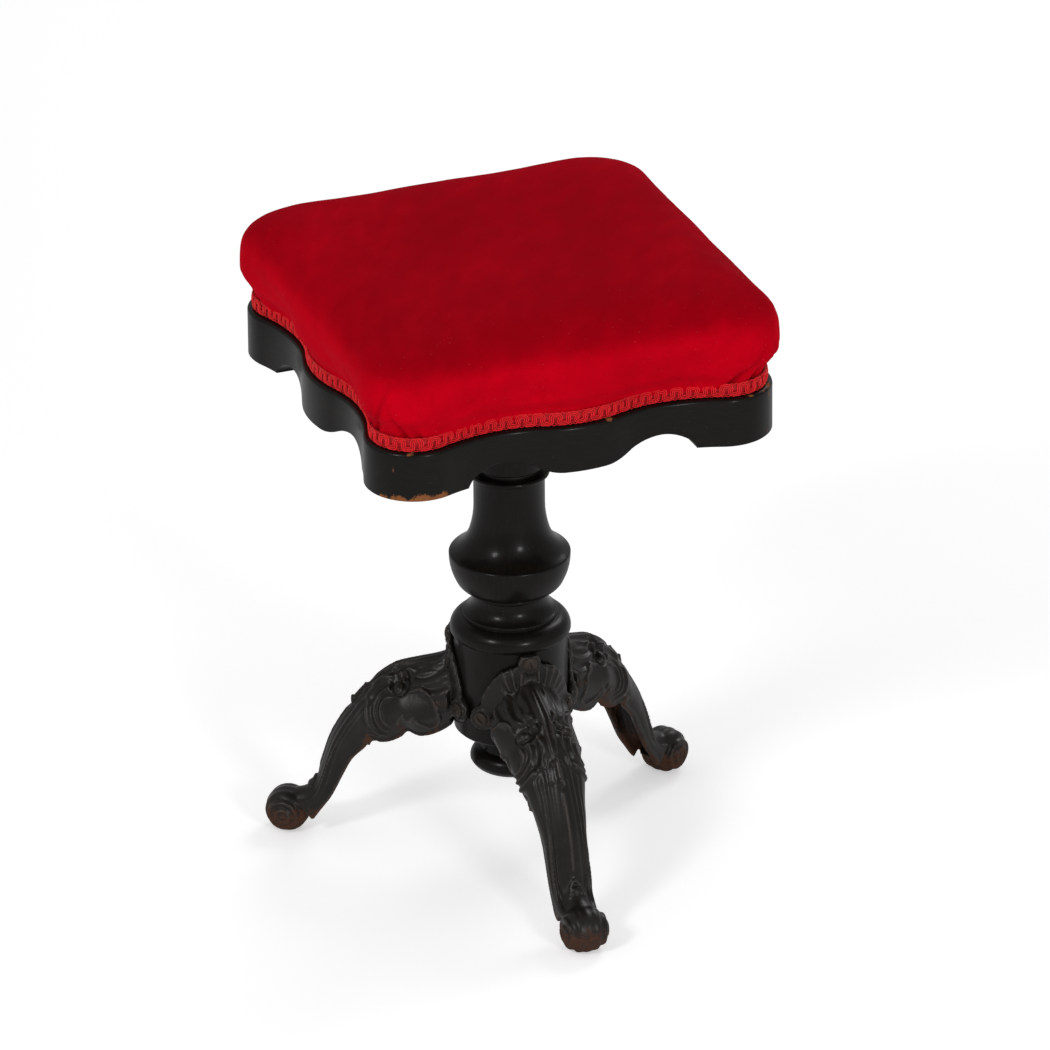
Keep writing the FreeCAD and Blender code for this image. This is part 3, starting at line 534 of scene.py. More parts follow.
def brushed_grain_group() -> bpy.types.NodeTree:
    """Long fine marks along one way, with pores."""
    tree, wire, given = new_group(
        "brushed_grain",
        "ShaderNodeTree",
        {"Place": (VECTOR, None), "Scale": (FLOAT, 60.0), "Stretch": (FLOAT, 14.0)},
        {"Height": FLOAT, "Shade": FLOAT},
    )
    stretch = given["Stretch"]
    squeeze = wire.add("ShaderNodeCombineXYZ", {0: 1.0, 1: stretch, 2: stretch}).outputs[0]
    place = wire.vector("MULTIPLY", given["Place"], squeeze)
    marks = wire.noise(place, given["Scale"], 5.0)
    pores = wire.window(wire.noise(place, wire.math("MULTIPLY", given["Scale"], 4.0), 2.0), 0.62, 0.75)
    height = wire.math("SUBTRACT", marks, wire.math("MULTIPLY", pores, 0.35))
    end_group(wire, {"Height": height, "Shade": wire.window(marks, 0.3, 0.7)})
    return tree


def dust_group() -> bpy.types.NodeTree:
    """Sparse pale specks and lint."""
    tree, wire, given = new_group(
        "dust",
        "ShaderNodeTree",
        {"Place": (VECTOR, None), "Scale": (FLOAT, 400.0), "Amount": (FLOAT, 0.1)},
        {"Mask": FLOAT},
    )
    cells = wire.add("ShaderNodeTexVoronoi", {"Vector": given["Place"], "Scale": given["Scale"]})
    chosen = wire.add("ShaderNodeSeparateColor", {0: cells.outputs["Color"]}).outputs[0]
    kept = wire.math("LESS_THAN", chosen, given["Amount"])
    spot = wire.window(cells.outputs["Distance"], 0.22, 0.08)
    end_group(wire, {"Mask": wire.math("MULTIPLY", kept, spot)})
    return tree


class Effects:
    """The shader groups that several finishes share."""

    def __init__(self) -> None:
        """Builds each group once."""
        self.worn_edges = worn_edges_group()
        self.brushed_grain = brushed_grain_group()
        self.dust = dust_group()

    def use(self, wire: Wiring, tree: bpy.types.NodeTree, inputs: dict) -> bpy.types.Node:
        """Places a group in a material."""
        return wire.add("ShaderNodeGroup", inputs, node_tree=tree)


def new_material(name: str) -> tuple[bpy.types.Material, Wiring, bpy.types.Node]:
    """An empty material with its shader.

    Args:
        name: the material's name.

    Returns:
        The material, its wiring and its Principled shader.
    """
    material = bpy.data.materials.new(name)
    material.use_nodes = True
    wire = Wiring(material.node_tree)
    shader = next(n for n in material.node_tree.nodes if n.type == "BSDF_PRINCIPLED")
    return material, wire, shader


def bump(wire: Wiring, height: object, depth: float, strength: float = 1.0) -> bpy.types.NodeSocket:
    """A normal from a height, with the depth in metres."""
    inputs = {"Height": height, "Distance": depth, "Strength": strength}
    return wire.add("ShaderNodeBump", inputs).outputs[0]


DUST = (0.32, 0.30, 0.27, 1)
GRIME = (0.16, 0.15, 0.14, 1)


@dataclass(frozen=True)
class Wood:
    """A wooden surface, stained or bare."""

    name: str
    dark: Colour
    light: Colour
    bare: Colour
    roughness: float
    specular: float
    coat: float
    wear: float
    mapped: bool = True

    def material(self, effects: Effects) -> bpy.types.Material:
        """Builds the finish.

        Args:
            effects: the shared shader groups.

        Returns:
            The material.
        """
        material, wire, shader = new_material(self.name)
        here = wire.here()
        along = wire.add("ShaderNodeUVMap", uv_map="grain").outputs[0] if self.mapped else here
        grain = effects.use(wire, effects.brushed_grain, {"Place": along, "Scale": 55.0, "Stretch": 16.0})
        inputs = {"Edge": wire.stored("edge"), "Amount": self.wear, "Patch Scale": 70.0, "Place": here}
        chips = effects.use(wire, effects.worn_edges, inputs).outputs["Mask"]
        dust = effects.use(wire, effects.dust, {"Place": here, "Scale": 900.0, "Amount": 0.02})
        cloudy = wire.noise(here, 14.0, 4.0)
        tone = wire.blend(grain.outputs["Shade"], rgba(self.dark), rgba(self.light))
        tone = wire.blend(wire.math("MULTIPLY", cloudy, 0.35), tone, rgba(self.dark))
        rubbed = wire.blend(wire.noise(here, 260.0), rgba(self.bare), rgba(self.bare, 0.45))
        tone = wire.blend(chips, tone, rubbed)
        tone = wire.blend(wire.math("MULTIPLY", dust.outputs["Mask"], 0.35), tone, DUST)
        smear = wire.between(wire.noise(here, 22.0, 5.0), self.roughness - 0.10, self.roughness + 0.12)
        relief = wire.math("SUBTRACT", grain.outputs["Height"], wire.math("MULTIPLY", chips, 1.6))
        uneven = wire.math("ADD", relief, wire.math("MULTIPLY", cloudy, 3.0))
        looks = {
            "Base Color": tone,
            "Roughness": wire.between(chips, smear, 0.75),
            "Coat Weight": wire.between(chips, self.coat, 0.0),
            "Coat Roughness": 0.16,
            "Specular IOR Level": self.specular,
            "Normal": bump(wire, uneven, 0.00012, 0.6),
        }
        wire.feed(shader, looks)
        return material


@dataclass(frozen=True)
class Iron:
    """Iron, black, greasy or rusting."""

    name: str
    dark: Colour
    rubbed: Colour
    rust: Colour
    rust_share: float
    roughness: float
    specular: float
    metallic: float
    pits: float

    def material(self, effects: Effects) -> bpy.types.Material:
        """Builds the finish.

        Args:
            effects: the shared shader groups.

        Returns:
            The material.
        """
        material, wire, shader = new_material(self.name)
        here = wire.here()
        inputs = {"Edge": wire.stored("edge"), "Amount": 0.62, "Patch Scale": 120.0, "Place": here}
        worn = effects.use(wire, effects.worn_edges, inputs).outputs["Mask"]
        grime = effects.use(wire, effects.dust, {"Place": here, "Scale": 700.0, "Amount": 0.035})
        broad = wire.noise(here, 34.0, 5.0)
        fine = wire.noise(here, 420.0, 4.0)
        tone = wire.blend(wire.window(broad, 0.35, 0.7), rgba(self.dark), rgba(self.dark, 1.7))
        tone = wire.blend(wire.math("MULTIPLY", worn, 0.75), tone, rgba(self.rubbed))
        reach = wire.weighed((broad, 0.55), (fine, 0.45), (wire.stored("rust"), 0.42))
        bloom = wire.window(reach, 0.98 - self.rust_share, 1.16 - self.rust_share)
        rusted = wire.blend(fine, rgba(self.rust, 0.4), rgba(self.rust))
        tone = wire.blend(wire.math("MULTIPLY", bloom, 0.85), tone, rusted)
        tone = wire.blend(wire.math("MULTIPLY", grime.outputs["Mask"], 0.4), tone, GRIME)
        smear = wire.between(broad, self.roughness - 0.08, self.roughness + 0.14)
        pitted = wire.weighed((fine, 1.0), (broad, 2.5))
        looks = {
            "Base Color": tone,
            "Roughness": wire.between(bloom, smear, 0.82),
            "Metallic": wire.between(bloom, self.metallic, 0.0),
            "Specular IOR Level": self.specular,
            "Normal": bump(wire, pitted, self.pits, 0.7),
        }
        wire.feed(shader, looks)
        return material


@dataclass(frozen=True)
class Velvet:
    """Cotton velvet with a brushed nap."""

    name: str = "crimson_velvet_nap"
    deep: Colour = (0.34, 0.0, 0.0052)
    bright: Colour = (0.66, 0.0, 0.0105)

    def material(self, effects: Effects) -> bpy.types.Material:
        """Builds the finish.

        Args:
            effects: the shared shader groups.

        Returns:
            The material.
        """
        material, wire, shader = new_material(self.name)
        here = wire.here()
        drift = wire.add("ShaderNodeMapping", {"Vector": here, "Scale": (1.0, 0.45, 0.8)}).outputs[0]
        brushed = wire.noise(drift, 9.0, 6.0)
        streaks = wire.noise(drift, 60.0, 6.0)
        pile = wire.noise(here, 1900.0, 3.0)
        nap_and_painted_sheen = wire.weighed((brushed, 0.42), (streaks, 0.22), (pile, 0.36))
        turned = wire.math("MULTIPLY", wire.math("SUBTRACT", nap_and_painted_sheen, 0.5), 3.0)
        # Painted sheen: the stored tilt makes the velvet's sides lighter than its top; the noise above is
        # real pile mottle.
        painted_side_sheen = wire.math("MULTIPLY", wire.stored("nap_and_painted_sheen"), 0.62)
        lean = wire.math("ADD", painted_side_sheen, wire.math("ADD", turned, 0.16))
        tone = wire.blend(lean, rgba(self.deep), rgba(self.bright))
        # Painted shade: the stored fold share darkens the velvet in the corner folds.
        tone = wire.blend(wire.math("MULTIPLY", wire.stored("painted_fold_shade"), 0.6), tone, rgba(self.deep, 0.45))
        lint = effects.use(wire, effects.dust, {"Place": here, "Scale": 520.0, "Amount": 0.03})
        tone = wire.blend(wire.math("MULTIPLY", lint.outputs["Mask"], 0.22), tone, (0.75, 0.35, 0.36, 1))
        looks = {
            "Base Color": tone,
            "Roughness": 0.95,
            "Specular IOR Level": 0.02,
            "Sheen Weight": 0.16,
            "Sheen Roughness": 0.35,
            "Sheen Tint": (1.0, 0.03, 0.08, 1),
            "Normal": bump(wire, pile, 0.0004, 0.5),
        }
        wire.feed(shader, looks)
        return material


@dataclass(frozen=True)
class Braid:
    """Rayon braid, brighter than the velvet, with twisted strands."""

    name: str = "red_braid_cord"
    deep: Colour = (0.34, 0.0, 0.006)
    bright: Colour = (0.97, 0.011, 0.022)

    def material(self, effects: Effects) -> bpy.types.Material:
        """Builds the finish.

        Args:
            effects: the shared shader groups.

        Returns:
            The material.
        """
        material, wire, shader = new_material(self.name)
        here = wire.here()
        strand = wire.noise(here, 1500.0, 2.0)
        broad = wire.noise(here, 60.0, 3.0)
        # Painted shade: the stored depth darkens cords that lie back near the tape's line and lightens the
        # proud ones, mixed with real strand mottle.
        lift = wire.weighed((wire.stored("depth"), 0.62), (strand, 0.45), (broad, 0.18))
        tone = wire.blend(wire.window(lift, 0.25, 0.95), rgba(self.deep), rgba(self.bright))
        lint = effects.use(wire, effects.dust, {"Place": here, "Scale": 700.0, "Amount": 0.03})
        tone = wire.blend(wire.math("MULTIPLY", lint.outputs["Mask"], 0.35), tone, (0.8, 0.5, 0.45, 1))
        looks = {
            "Base Color": tone,
            "Roughness": 0.55,
            "Specular IOR Level": 0.25,
            "Sheen Weight": 0.2,
            "Sheen Tint": (1.0, 0.35, 0.3, 1),
            "Normal": bump(wire, strand, 0.0003, 0.6),
        }
        wire.feed(shader, looks)
        return material


RUST = (0.105, 0.040, 0.020)
EBONISED = Wood(
    name="ebonised_turned",
    dark=(0.0040, 0.0036, 0.0030),
    light=(0.0082, 0.0070, 0.0056),
    bare=(0.36, 0.13, 0.045),
    roughness=0.34,
    specular=0.10,
    coat=0.14,
    wear=0.30,
)
PINE = Wood(
    name="plain_pine",
    dark=(0.16, 0.085, 0.040),
    light=(0.30, 0.17, 0.085),
    bare=(0.30, 0.17, 0.085),
    roughness=0.72,
    specular=0.2,
    coat=0.0,
    wear=0.05,
    mapped=False,
)
CASTING = Iron(
    name="leg_casting",
    dark=(0.0085, 0.0072, 0.0060),
    rubbed=(0.046, 0.037, 0.032),
    rust=RUST,
    rust_share=0.26,
    roughness=0.32,
    specular=0.30,
    metallic=0.05,
    pits=0.00022,
)
STEEL = Iron(
    name="greased_steel",
    dark=(0.11, 0.10, 0.095),
    rubbed=(0.3, 0.29, 0.28),
    rust=RUST,
    rust_share=0.15,
    roughness=0.34,
    specular=0.5,
    metallic=0.85,
    pits=0.00005,
)
SCREW_HEADS = Iron(
    name="rusty_heads",
    dark=(0.030, 0.022, 0.017),
    rubbed=(0.09, 0.07, 0.055),
    rust=(0.20, 0.075, 0.03),
    rust_share=0.36,
    roughness=0.5,
    specular=0.4,
    metallic=0.5,
    pits=0.0001,
)


class Finishes:
    """Every finish of the stool."""

    def __init__(self) -> None:
        """Builds the materials once."""
        effects = Effects()
        self.ebonised = EBONISED.material(effects)
        self.plain = PINE.material(effects)
        self.iron = CASTING.material(effects)
        self.steel = STEEL.material(effects)
        self.rusty = SCREW_HEADS.material(effects)
        self.velvet = Velvet().material(effects)
        self.braid = Braid().material(effects)


def dress(piece: bpy.types.Object, material: bpy.types.Material) -> None:
    """Gives a piece its one material."""
    piece.data.materials.clear()
    piece.data.materials.append(material)


def hand_over(piece: bpy.types.Object, body: Body, *nodes: str) -> None:
    """Lets a piece ride on its body and stand for its nodes."""
    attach(piece, body.value)
    if nodes:
        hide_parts(*nodes)
    log.info("%s rides on %s, %d faces", piece.name, body.value, len(piece.data.polygons))


def map_grain(piece: bpy.types.Object, upright: bool, turn: float = 0.0) -> None:
    """Gives a piece a map whose first way runs along its grain.

    Args:
        piece: the piece.
        upright: whether the grain runs up the piece, as in turned work.
        turn: turn of the piece about the axis, in degrees.
    """
    mesh = piece.data
    points = points_of(mesh)
    if upright:
        angle = np.arctan2(points[:, 1], points[:, 0])
        radius = np.hypot(points[:, 0], points[:, 1])
        pairs = np.column_stack([points[:, 2], np.abs(angle) * radius.mean()])
    else:
        local = turn_about_axis(points, -turn)
        pairs = np.column_stack([local[:, 0], local[:, 1] + local[:, 2]])
    corners = np.empty(len(mesh.loops), np.int32)
    mesh.loops.foreach_get("vertex_index", corners)
    layer = mesh.uv_layers.new(name="grain")
    layer.uv.foreach_set("vector", pairs[corners].astype(np.float32).ravel())


# The seat's wavy outline


@dataclass(frozen=True)
class WavyOutline:
    """The seat's outline: round corners, a hollow at each end of a side and a swell in its middle."""

    half: float = 0.180
    corner: float = 0.0423
    valley: float = 0.0132
    middle: float = 0.0012
    turn: float = SEAT_TURN

    def side(self) -> np.ndarray:
        """One side from diagonal to diagonal, as a dense line in the seat's own frame."""
        valley = max(self.valley, 1e-5)
        middle = min(self.middle, valley * 0.5)
        crest = self.half - self.corner
        dip = crest / 2
        swing = 2 * math.atan(valley / dip)
        hollow = dip / math.sin(swing) - self.corner
        rise = (valley - middle) / 2
        swell = ((dip / 2) ** 2 + rise**2) / (2 * rise)
        low = self.half - valley
        round_end = np.linspace(math.pi / 4, math.pi / 2 + swing, 24)
        parts = [crest + self.corner * np.column_stack([np.cos(round_end), np.sin(round_end)])]
        across = np.linspace(crest - self.corner * math.sin(swing), dip, 30)[1:]
        parts.append(np.column_stack([across, low + hollow - np.sqrt(hollow**2 - (across - dip) ** 2)]))
        across = np.linspace(dip, dip / 2, 16)[1:]
        parts.append(np.column_stack([across, low + swell - np.sqrt(swell**2 - (across - dip) ** 2)]))
        across = np.linspace(dip / 2, 0, 16)[1:]
        parts.append(np.column_stack([across, self.half - middle - swell + np.sqrt(swell**2 - across**2)]))
        half_side = np.vstack(parts)
        return np.vstack([half_side, half_side[::-1][1:] * (-1, 1)])

    def ring(self, per_side: int) -> np.ndarray:
        """The whole outline where the seat stands at rest.

        Args:
            per_side: points on each side.

        Returns:
            The points, as one loop.
        """
        side = even_line(self.side(), per_side, False)
        return np.vstack([turn_about_axis(side, self.turn + 90 * k) for k in range(4)])


def ring_normals(ring: np.ndarray) -> np.ndarray:
    """Outward directions of a loop that runs anticlockwise."""
    ways = np.roll(ring, -1, axis=0) - np.roll(ring, 1, axis=0)
    ways /= np.linalg.norm(ways, axis=1)[:, None]
    return np.column_stack([ways[:, 1], -ways[:, 0]])


@dataclass
class Cushion:
    """The crowned velvet cushion."""

    foot_half: float = 0.1730
    half: float = 0.1872
    braid_top: float = 0.0135
    swell: float = 0.0330
    height: float = 0.0880
    power: float = 0.42
    foot_corner: float = 0.0365
    corner: float = 0.0455
    seat: WavyOutline = WavyOutline()
    lift: float = 0.0003
    per_side: int = 90
    voxel: float = 0.0052
    pressure: float = 4.0
    frames: int = 20
    growth: float = 0.0022
    start_inset: float = 0.0004
    held_level: float = 0.012
    free_level: float = 0.024
    fold_half: float = 0.0032
    pillow_half: float = 0.0090
    dents: tuple[float, float] = (17.0, 0.0006)
    ripples: tuple[float, float] = (48.0, 0.00025)
    tucks_per_corner: Line = (
        (-0.034, 0.42, 0.055, 0.0030),
        (-0.020, 0.30, 0.062, 0.0036),
        (0.012, -0.34, 0.058, 0.0034),
        (0.030, -0.52, 0.040, 0.0022),
    )

    def row(self, half: float, fade: float, corner: float, height: float) -> np.ndarray:
        """One level line of the cushion."""
        share = half / self.seat.half
        valley, middle, rest = self.seat.valley, self.seat.middle, share**3 * fade
        line = replace(self.seat, half=half, corner=corner, valley=valley * rest, middle=middle * rest)
        ring = line.ring(self.per_side)
        return np.column_stack([ring, np.full(len(ring), height)])

    def rows(self, base: float) -> list[np.ndarray]:
        """The level lines, from the foot to the crown."""
        made = []
        for share in np.linspace(0, 1, 14):
            above = max(share * self.swell - self.braid_top, 0) / (self.swell - self.braid_top)
            ease = math.sin(above * math.pi / 2) ** 1.6
            half = self.foot_half + (self.half - self.foot_half) * ease
            corner = self.foot_corner + (self.corner - self.foot_corner) * share
            made.append(self.row(half, 1.0 - 0.12 * ease, corner, base + self.swell * share))
        crown = self.height - self.swell
        for angle in np.radians(np.concatenate([np.linspace(2, 80, 34), [84, 87, 89, 89.7, 89.95]])):
            share, up = math.cos(angle) ** self.power, math.sin(angle) ** self.power
            fade = 0.88 * share**7.0 * (1 - up) ** 4.5
            half = self.half * share
            corner = min(self.corner * (2 - share), half * 0.96)
            made.append(self.row(half, fade, corner, base + self.swell + crown * up))
        return made

    def form(self, base: float) -> bpy.types.Object:
        """The closed form before it is blown up."""
        rows = self.rows(base)
        columns = len(rows[0])
        points = np.vstack([*rows, [[0, 0, base]], [[0, 0, rows[-1][0, 2]]]])
        faces = grid_faces(len(rows), columns, False, True)
        foot, top, last = len(points) - 2, len(points) - 1, (len(rows) - 1) * columns
        for c in range(columns):
            after = (c + 1) % columns
            faces.append((foot, after, c))
            faces.append((top, last + c, last + after))
        return new_piece("velvet_cushion", points, faces)

    def stuff(self, piece: bpy.types.Object, base: float) -> None:
        """Remeshes the form and blows it up a little as cloth.

        Args:
            piece: the closed form.
            base: level that the cushion stands on.
        """
        remesh = piece.modifiers.new("even", "REMESH")
        remesh.mode = "VOXEL"
        remesh.voxel_size = self.voxel
        settle(piece)
        mesh = piece.data
        normals = normals_of(mesh)
        rest = points_of(mesh)
        held = smooth_step(rest[:, 2], base + self.free_level, base + self.held_level)
        place_points(mesh, rest - normals * (self.start_inset * (1 - held))[:, None])
        start = points_of(mesh)
        group = piece.vertex_groups.new(name="held")
        for number in np.flatnonzero(held > 0.01):
            group.add([int(number)], float(held[number]), "REPLACE")
        cloth = piece.modifiers.new("fabric", "CLOTH")
        cloth.settings.use_pressure = True
        cloth.settings.uniform_pressure_force = self.pressure
        cloth.settings.effector_weights.gravity = 0
        cloth.settings.vertex_group_mass = "held"
        cloth.settings.quality = 5
        cloth.settings.tension_stiffness = 25
        cloth.settings.compression_stiffness = 25
        scene = bpy.context.scene
        for number in range(1, self.frames + 1):
            scene.frame_set(number)
        settle(piece)
        scene.frame_set(1)
        mesh = piece.data
        moved = points_of(mesh) - start
        reach = np.linalg.norm(moved, axis=1)
        capped = np.minimum(reach, self.growth) / np.maximum(reach, 1e-9)
        place_points(mesh, start + moved * capped[:, None])
        smooth = piece.modifiers.new("ease", "SMOOTH")
        smooth.factor = 0.5
        smooth.iterations = 4
        subdivide = piece.modifiers.new("fine", "SUBSURF")
        subdivide.levels = 1
        subdivide.render_levels = 1
        settle(piece)

    def tuck(self, piece: bpy.types.Object, base: float) -> None:
        """Presses the folds of the corners and small dents into the velvet, flattens its foot, and stores
        painted shade for the folds and a painted sheen that makes the sides lighter than the top.

        Args:
            piece: the cushion.
            base: level that the cushion stands on.
        """
        mesh = piece.data
        points, normals = points_of(mesh), normals_of(mesh)
        height = points[:, 2] - base
        local = turn_about_axis(points, -self.seat.turn)
        angle = np.degrees(np.arctan2(local[:, 1], local[:, 0]))
        radius = np.hypot(points[:, 0], points[:, 1])
        shift, painted_fold_shade = np.zeros(len(points)), np.zeros(len(points))
        side_on = smooth_step(1 - np.abs(normals[:, 2]), 0.05, 0.5)
        for number, middle in enumerate((45, 135, -135, -45)):
            way = (angle - middle + 180) % 360 - 180
            along = np.radians(way) * radius
            for order, (spot, lean, reach, depth) in enumerate(self.tucks_per_corner):
                vary = 1 + 0.25 * math.sin(3.1 * number + 1.7 * order)
                line = spot * vary + lean * height * vary
                fade = smooth_step(height, reach * vary, 0.006) * side_on
                near = np.exp(-(((along - line) / self.fold_half) ** 2)) * (np.abs(way) < 40)
                beside = np.exp(-(((along - line) / self.pillow_half) ** 2)) * (np.abs(way) < 40)
                shift += fade * depth * (0.45 * beside - 1.15 * near)
                painted_fold_shade = np.maximum(painted_fold_shade, fade * near * 0.9)
        uneven = np.zeros(len(points))
        for scale, rise in (self.dents, self.ripples):
            uneven += rise * np.array([noise.noise(Vector(p) * scale) for p in points])
        shift += smooth_step(height, 0.010, 0.022) * uneven
        points = points + normals * shift[:, None]
        points[:, 2] = np.maximum(points[:, 2], base)
        place_points(mesh, points)
        # Painted shade in the folds of the corners.
        paint(mesh, "painted_fold_shade", np.clip(painted_fold_shade, 0, 1))
        # Painted sheen: a share that grows as the normal tilts away from up, so the sides render lighter than
        # the top.
        paint(mesh, "nap_and_painted_sheen", smooth_step(1 - normals[:, 2], 0.02, 0.95))
        mesh.shade_smooth()

    def build(self, finishes: Finishes) -> None:
        """Makes, dresses and hands over the cushion."""
        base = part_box("seat_rail_1")[1].z + self.lift
        piece = self.form(base)
        self.stuff(piece, base)
        self.tuck(piece, base)
        dress(piece, finishes.velvet)
        hand_over(piece, Body.SEAT, "velvet_cover", "cushion_stuffing")


def stored_way(wire: Wiring, name: str) -> bpy.types.NodeSocket:
    """A direction that is stored on the points of a geometry."""
    return wire.add("GeometryNodeInputNamedAttribute", {"Name": name}, data_type="FLOAT_VECTOR").outputs[0]


def braid_cord_group() -> bpy.types.NodeTree:
    """One looping cord that follows a closed line."""
    tree, wire, given = new_group(
        "braid_cord",
        "GeometryNodeTree",
        {
            "Line": (GEOMETRY, None),
            "Loops": (FLOAT, 90.0),
            "Points": (WHOLE, 2000),
            "Rise": (FLOAT, 0.003),
            "Sway": (FLOAT, 0.002),
            "Level": (FLOAT, 0.0),
            "Aside": (FLOAT, 0.0),
            "Proud": (FLOAT, 0.001),
            "Weave": (FLOAT, 0.0004),
            "Phase": (FLOAT, 0.0),
            "Thickness": (FLOAT, 0.0005),
            "Sides": (WHOLE, 5),
        },
        {"Cord": GEOMETRY},
    )
    curve = wire.add("GeometryNodeMeshToCurve", {0: given["Line"]}).outputs[0]
    curve = wire.add("GeometryNodeResampleCurve", {"Curve": curve, "Count": given["Points"]}).outputs[0]
    outward = stored_way(wire, "outward")
    share = wire.add("GeometryNodeSplineParameter").outputs["Factor"]
    turns = wire.math("MULTIPLY", wire.math("MULTIPLY", share, given["Loops"]), 2 * math.pi)
    angle = wire.math("ADD", turns, given["Phase"])
    double = wire.math("MULTIPLY", angle, 2.0)
    along = wire.vector("CROSS_PRODUCT", (0, 0, 1), outward)
    rise = wire.math("ADD", given["Level"], wire.math("MULTIPLY", given["Rise"], wire.math("SINE", angle)))
    sway = wire.math("MULTIPLY", given["Sway"], wire.math("SINE", double))
    weave = wire.math("MULTIPLY", given["Weave"], wire.math("COSINE", double))
    proud = wire.math("ADD", given["Proud"], weave)
    offset = wire.vector("SCALE", along, scale=sway)
    offset = wire.vector("ADD", offset, wire.vector("SCALE", outward, scale=proud))
    offset = wire.vector("ADD", offset, wire.vector("SCALE", (0, 0, 1), scale=rise))
    curve = wire.add("GeometryNodeSetPosition", {"Geometry": curve, "Offset": offset}).outputs[0]
    tangent = wire.add("GeometryNodeInputTangent").outputs[0]
    beside = wire.vector("NORMALIZE", wire.vector("CROSS_PRODUCT", tangent, outward))
    aside = wire.vector("SCALE", beside, scale=given["Aside"])
    curve = wire.add("GeometryNodeSetPosition", {"Geometry": curve, "Offset": aside}).outputs[0]
    inputs = {"Resolution": given["Sides"], "Radius": given["Thickness"]}
    ring = wire.add("GeometryNodeCurvePrimitiveCircle", inputs).outputs[0]
    tube = wire.add("GeometryNodeCurveToMesh", {"Curve": curve, "Profile Curve": ring}).outputs[0]
    end_group(wire, {"Cord": tube})
    return tree


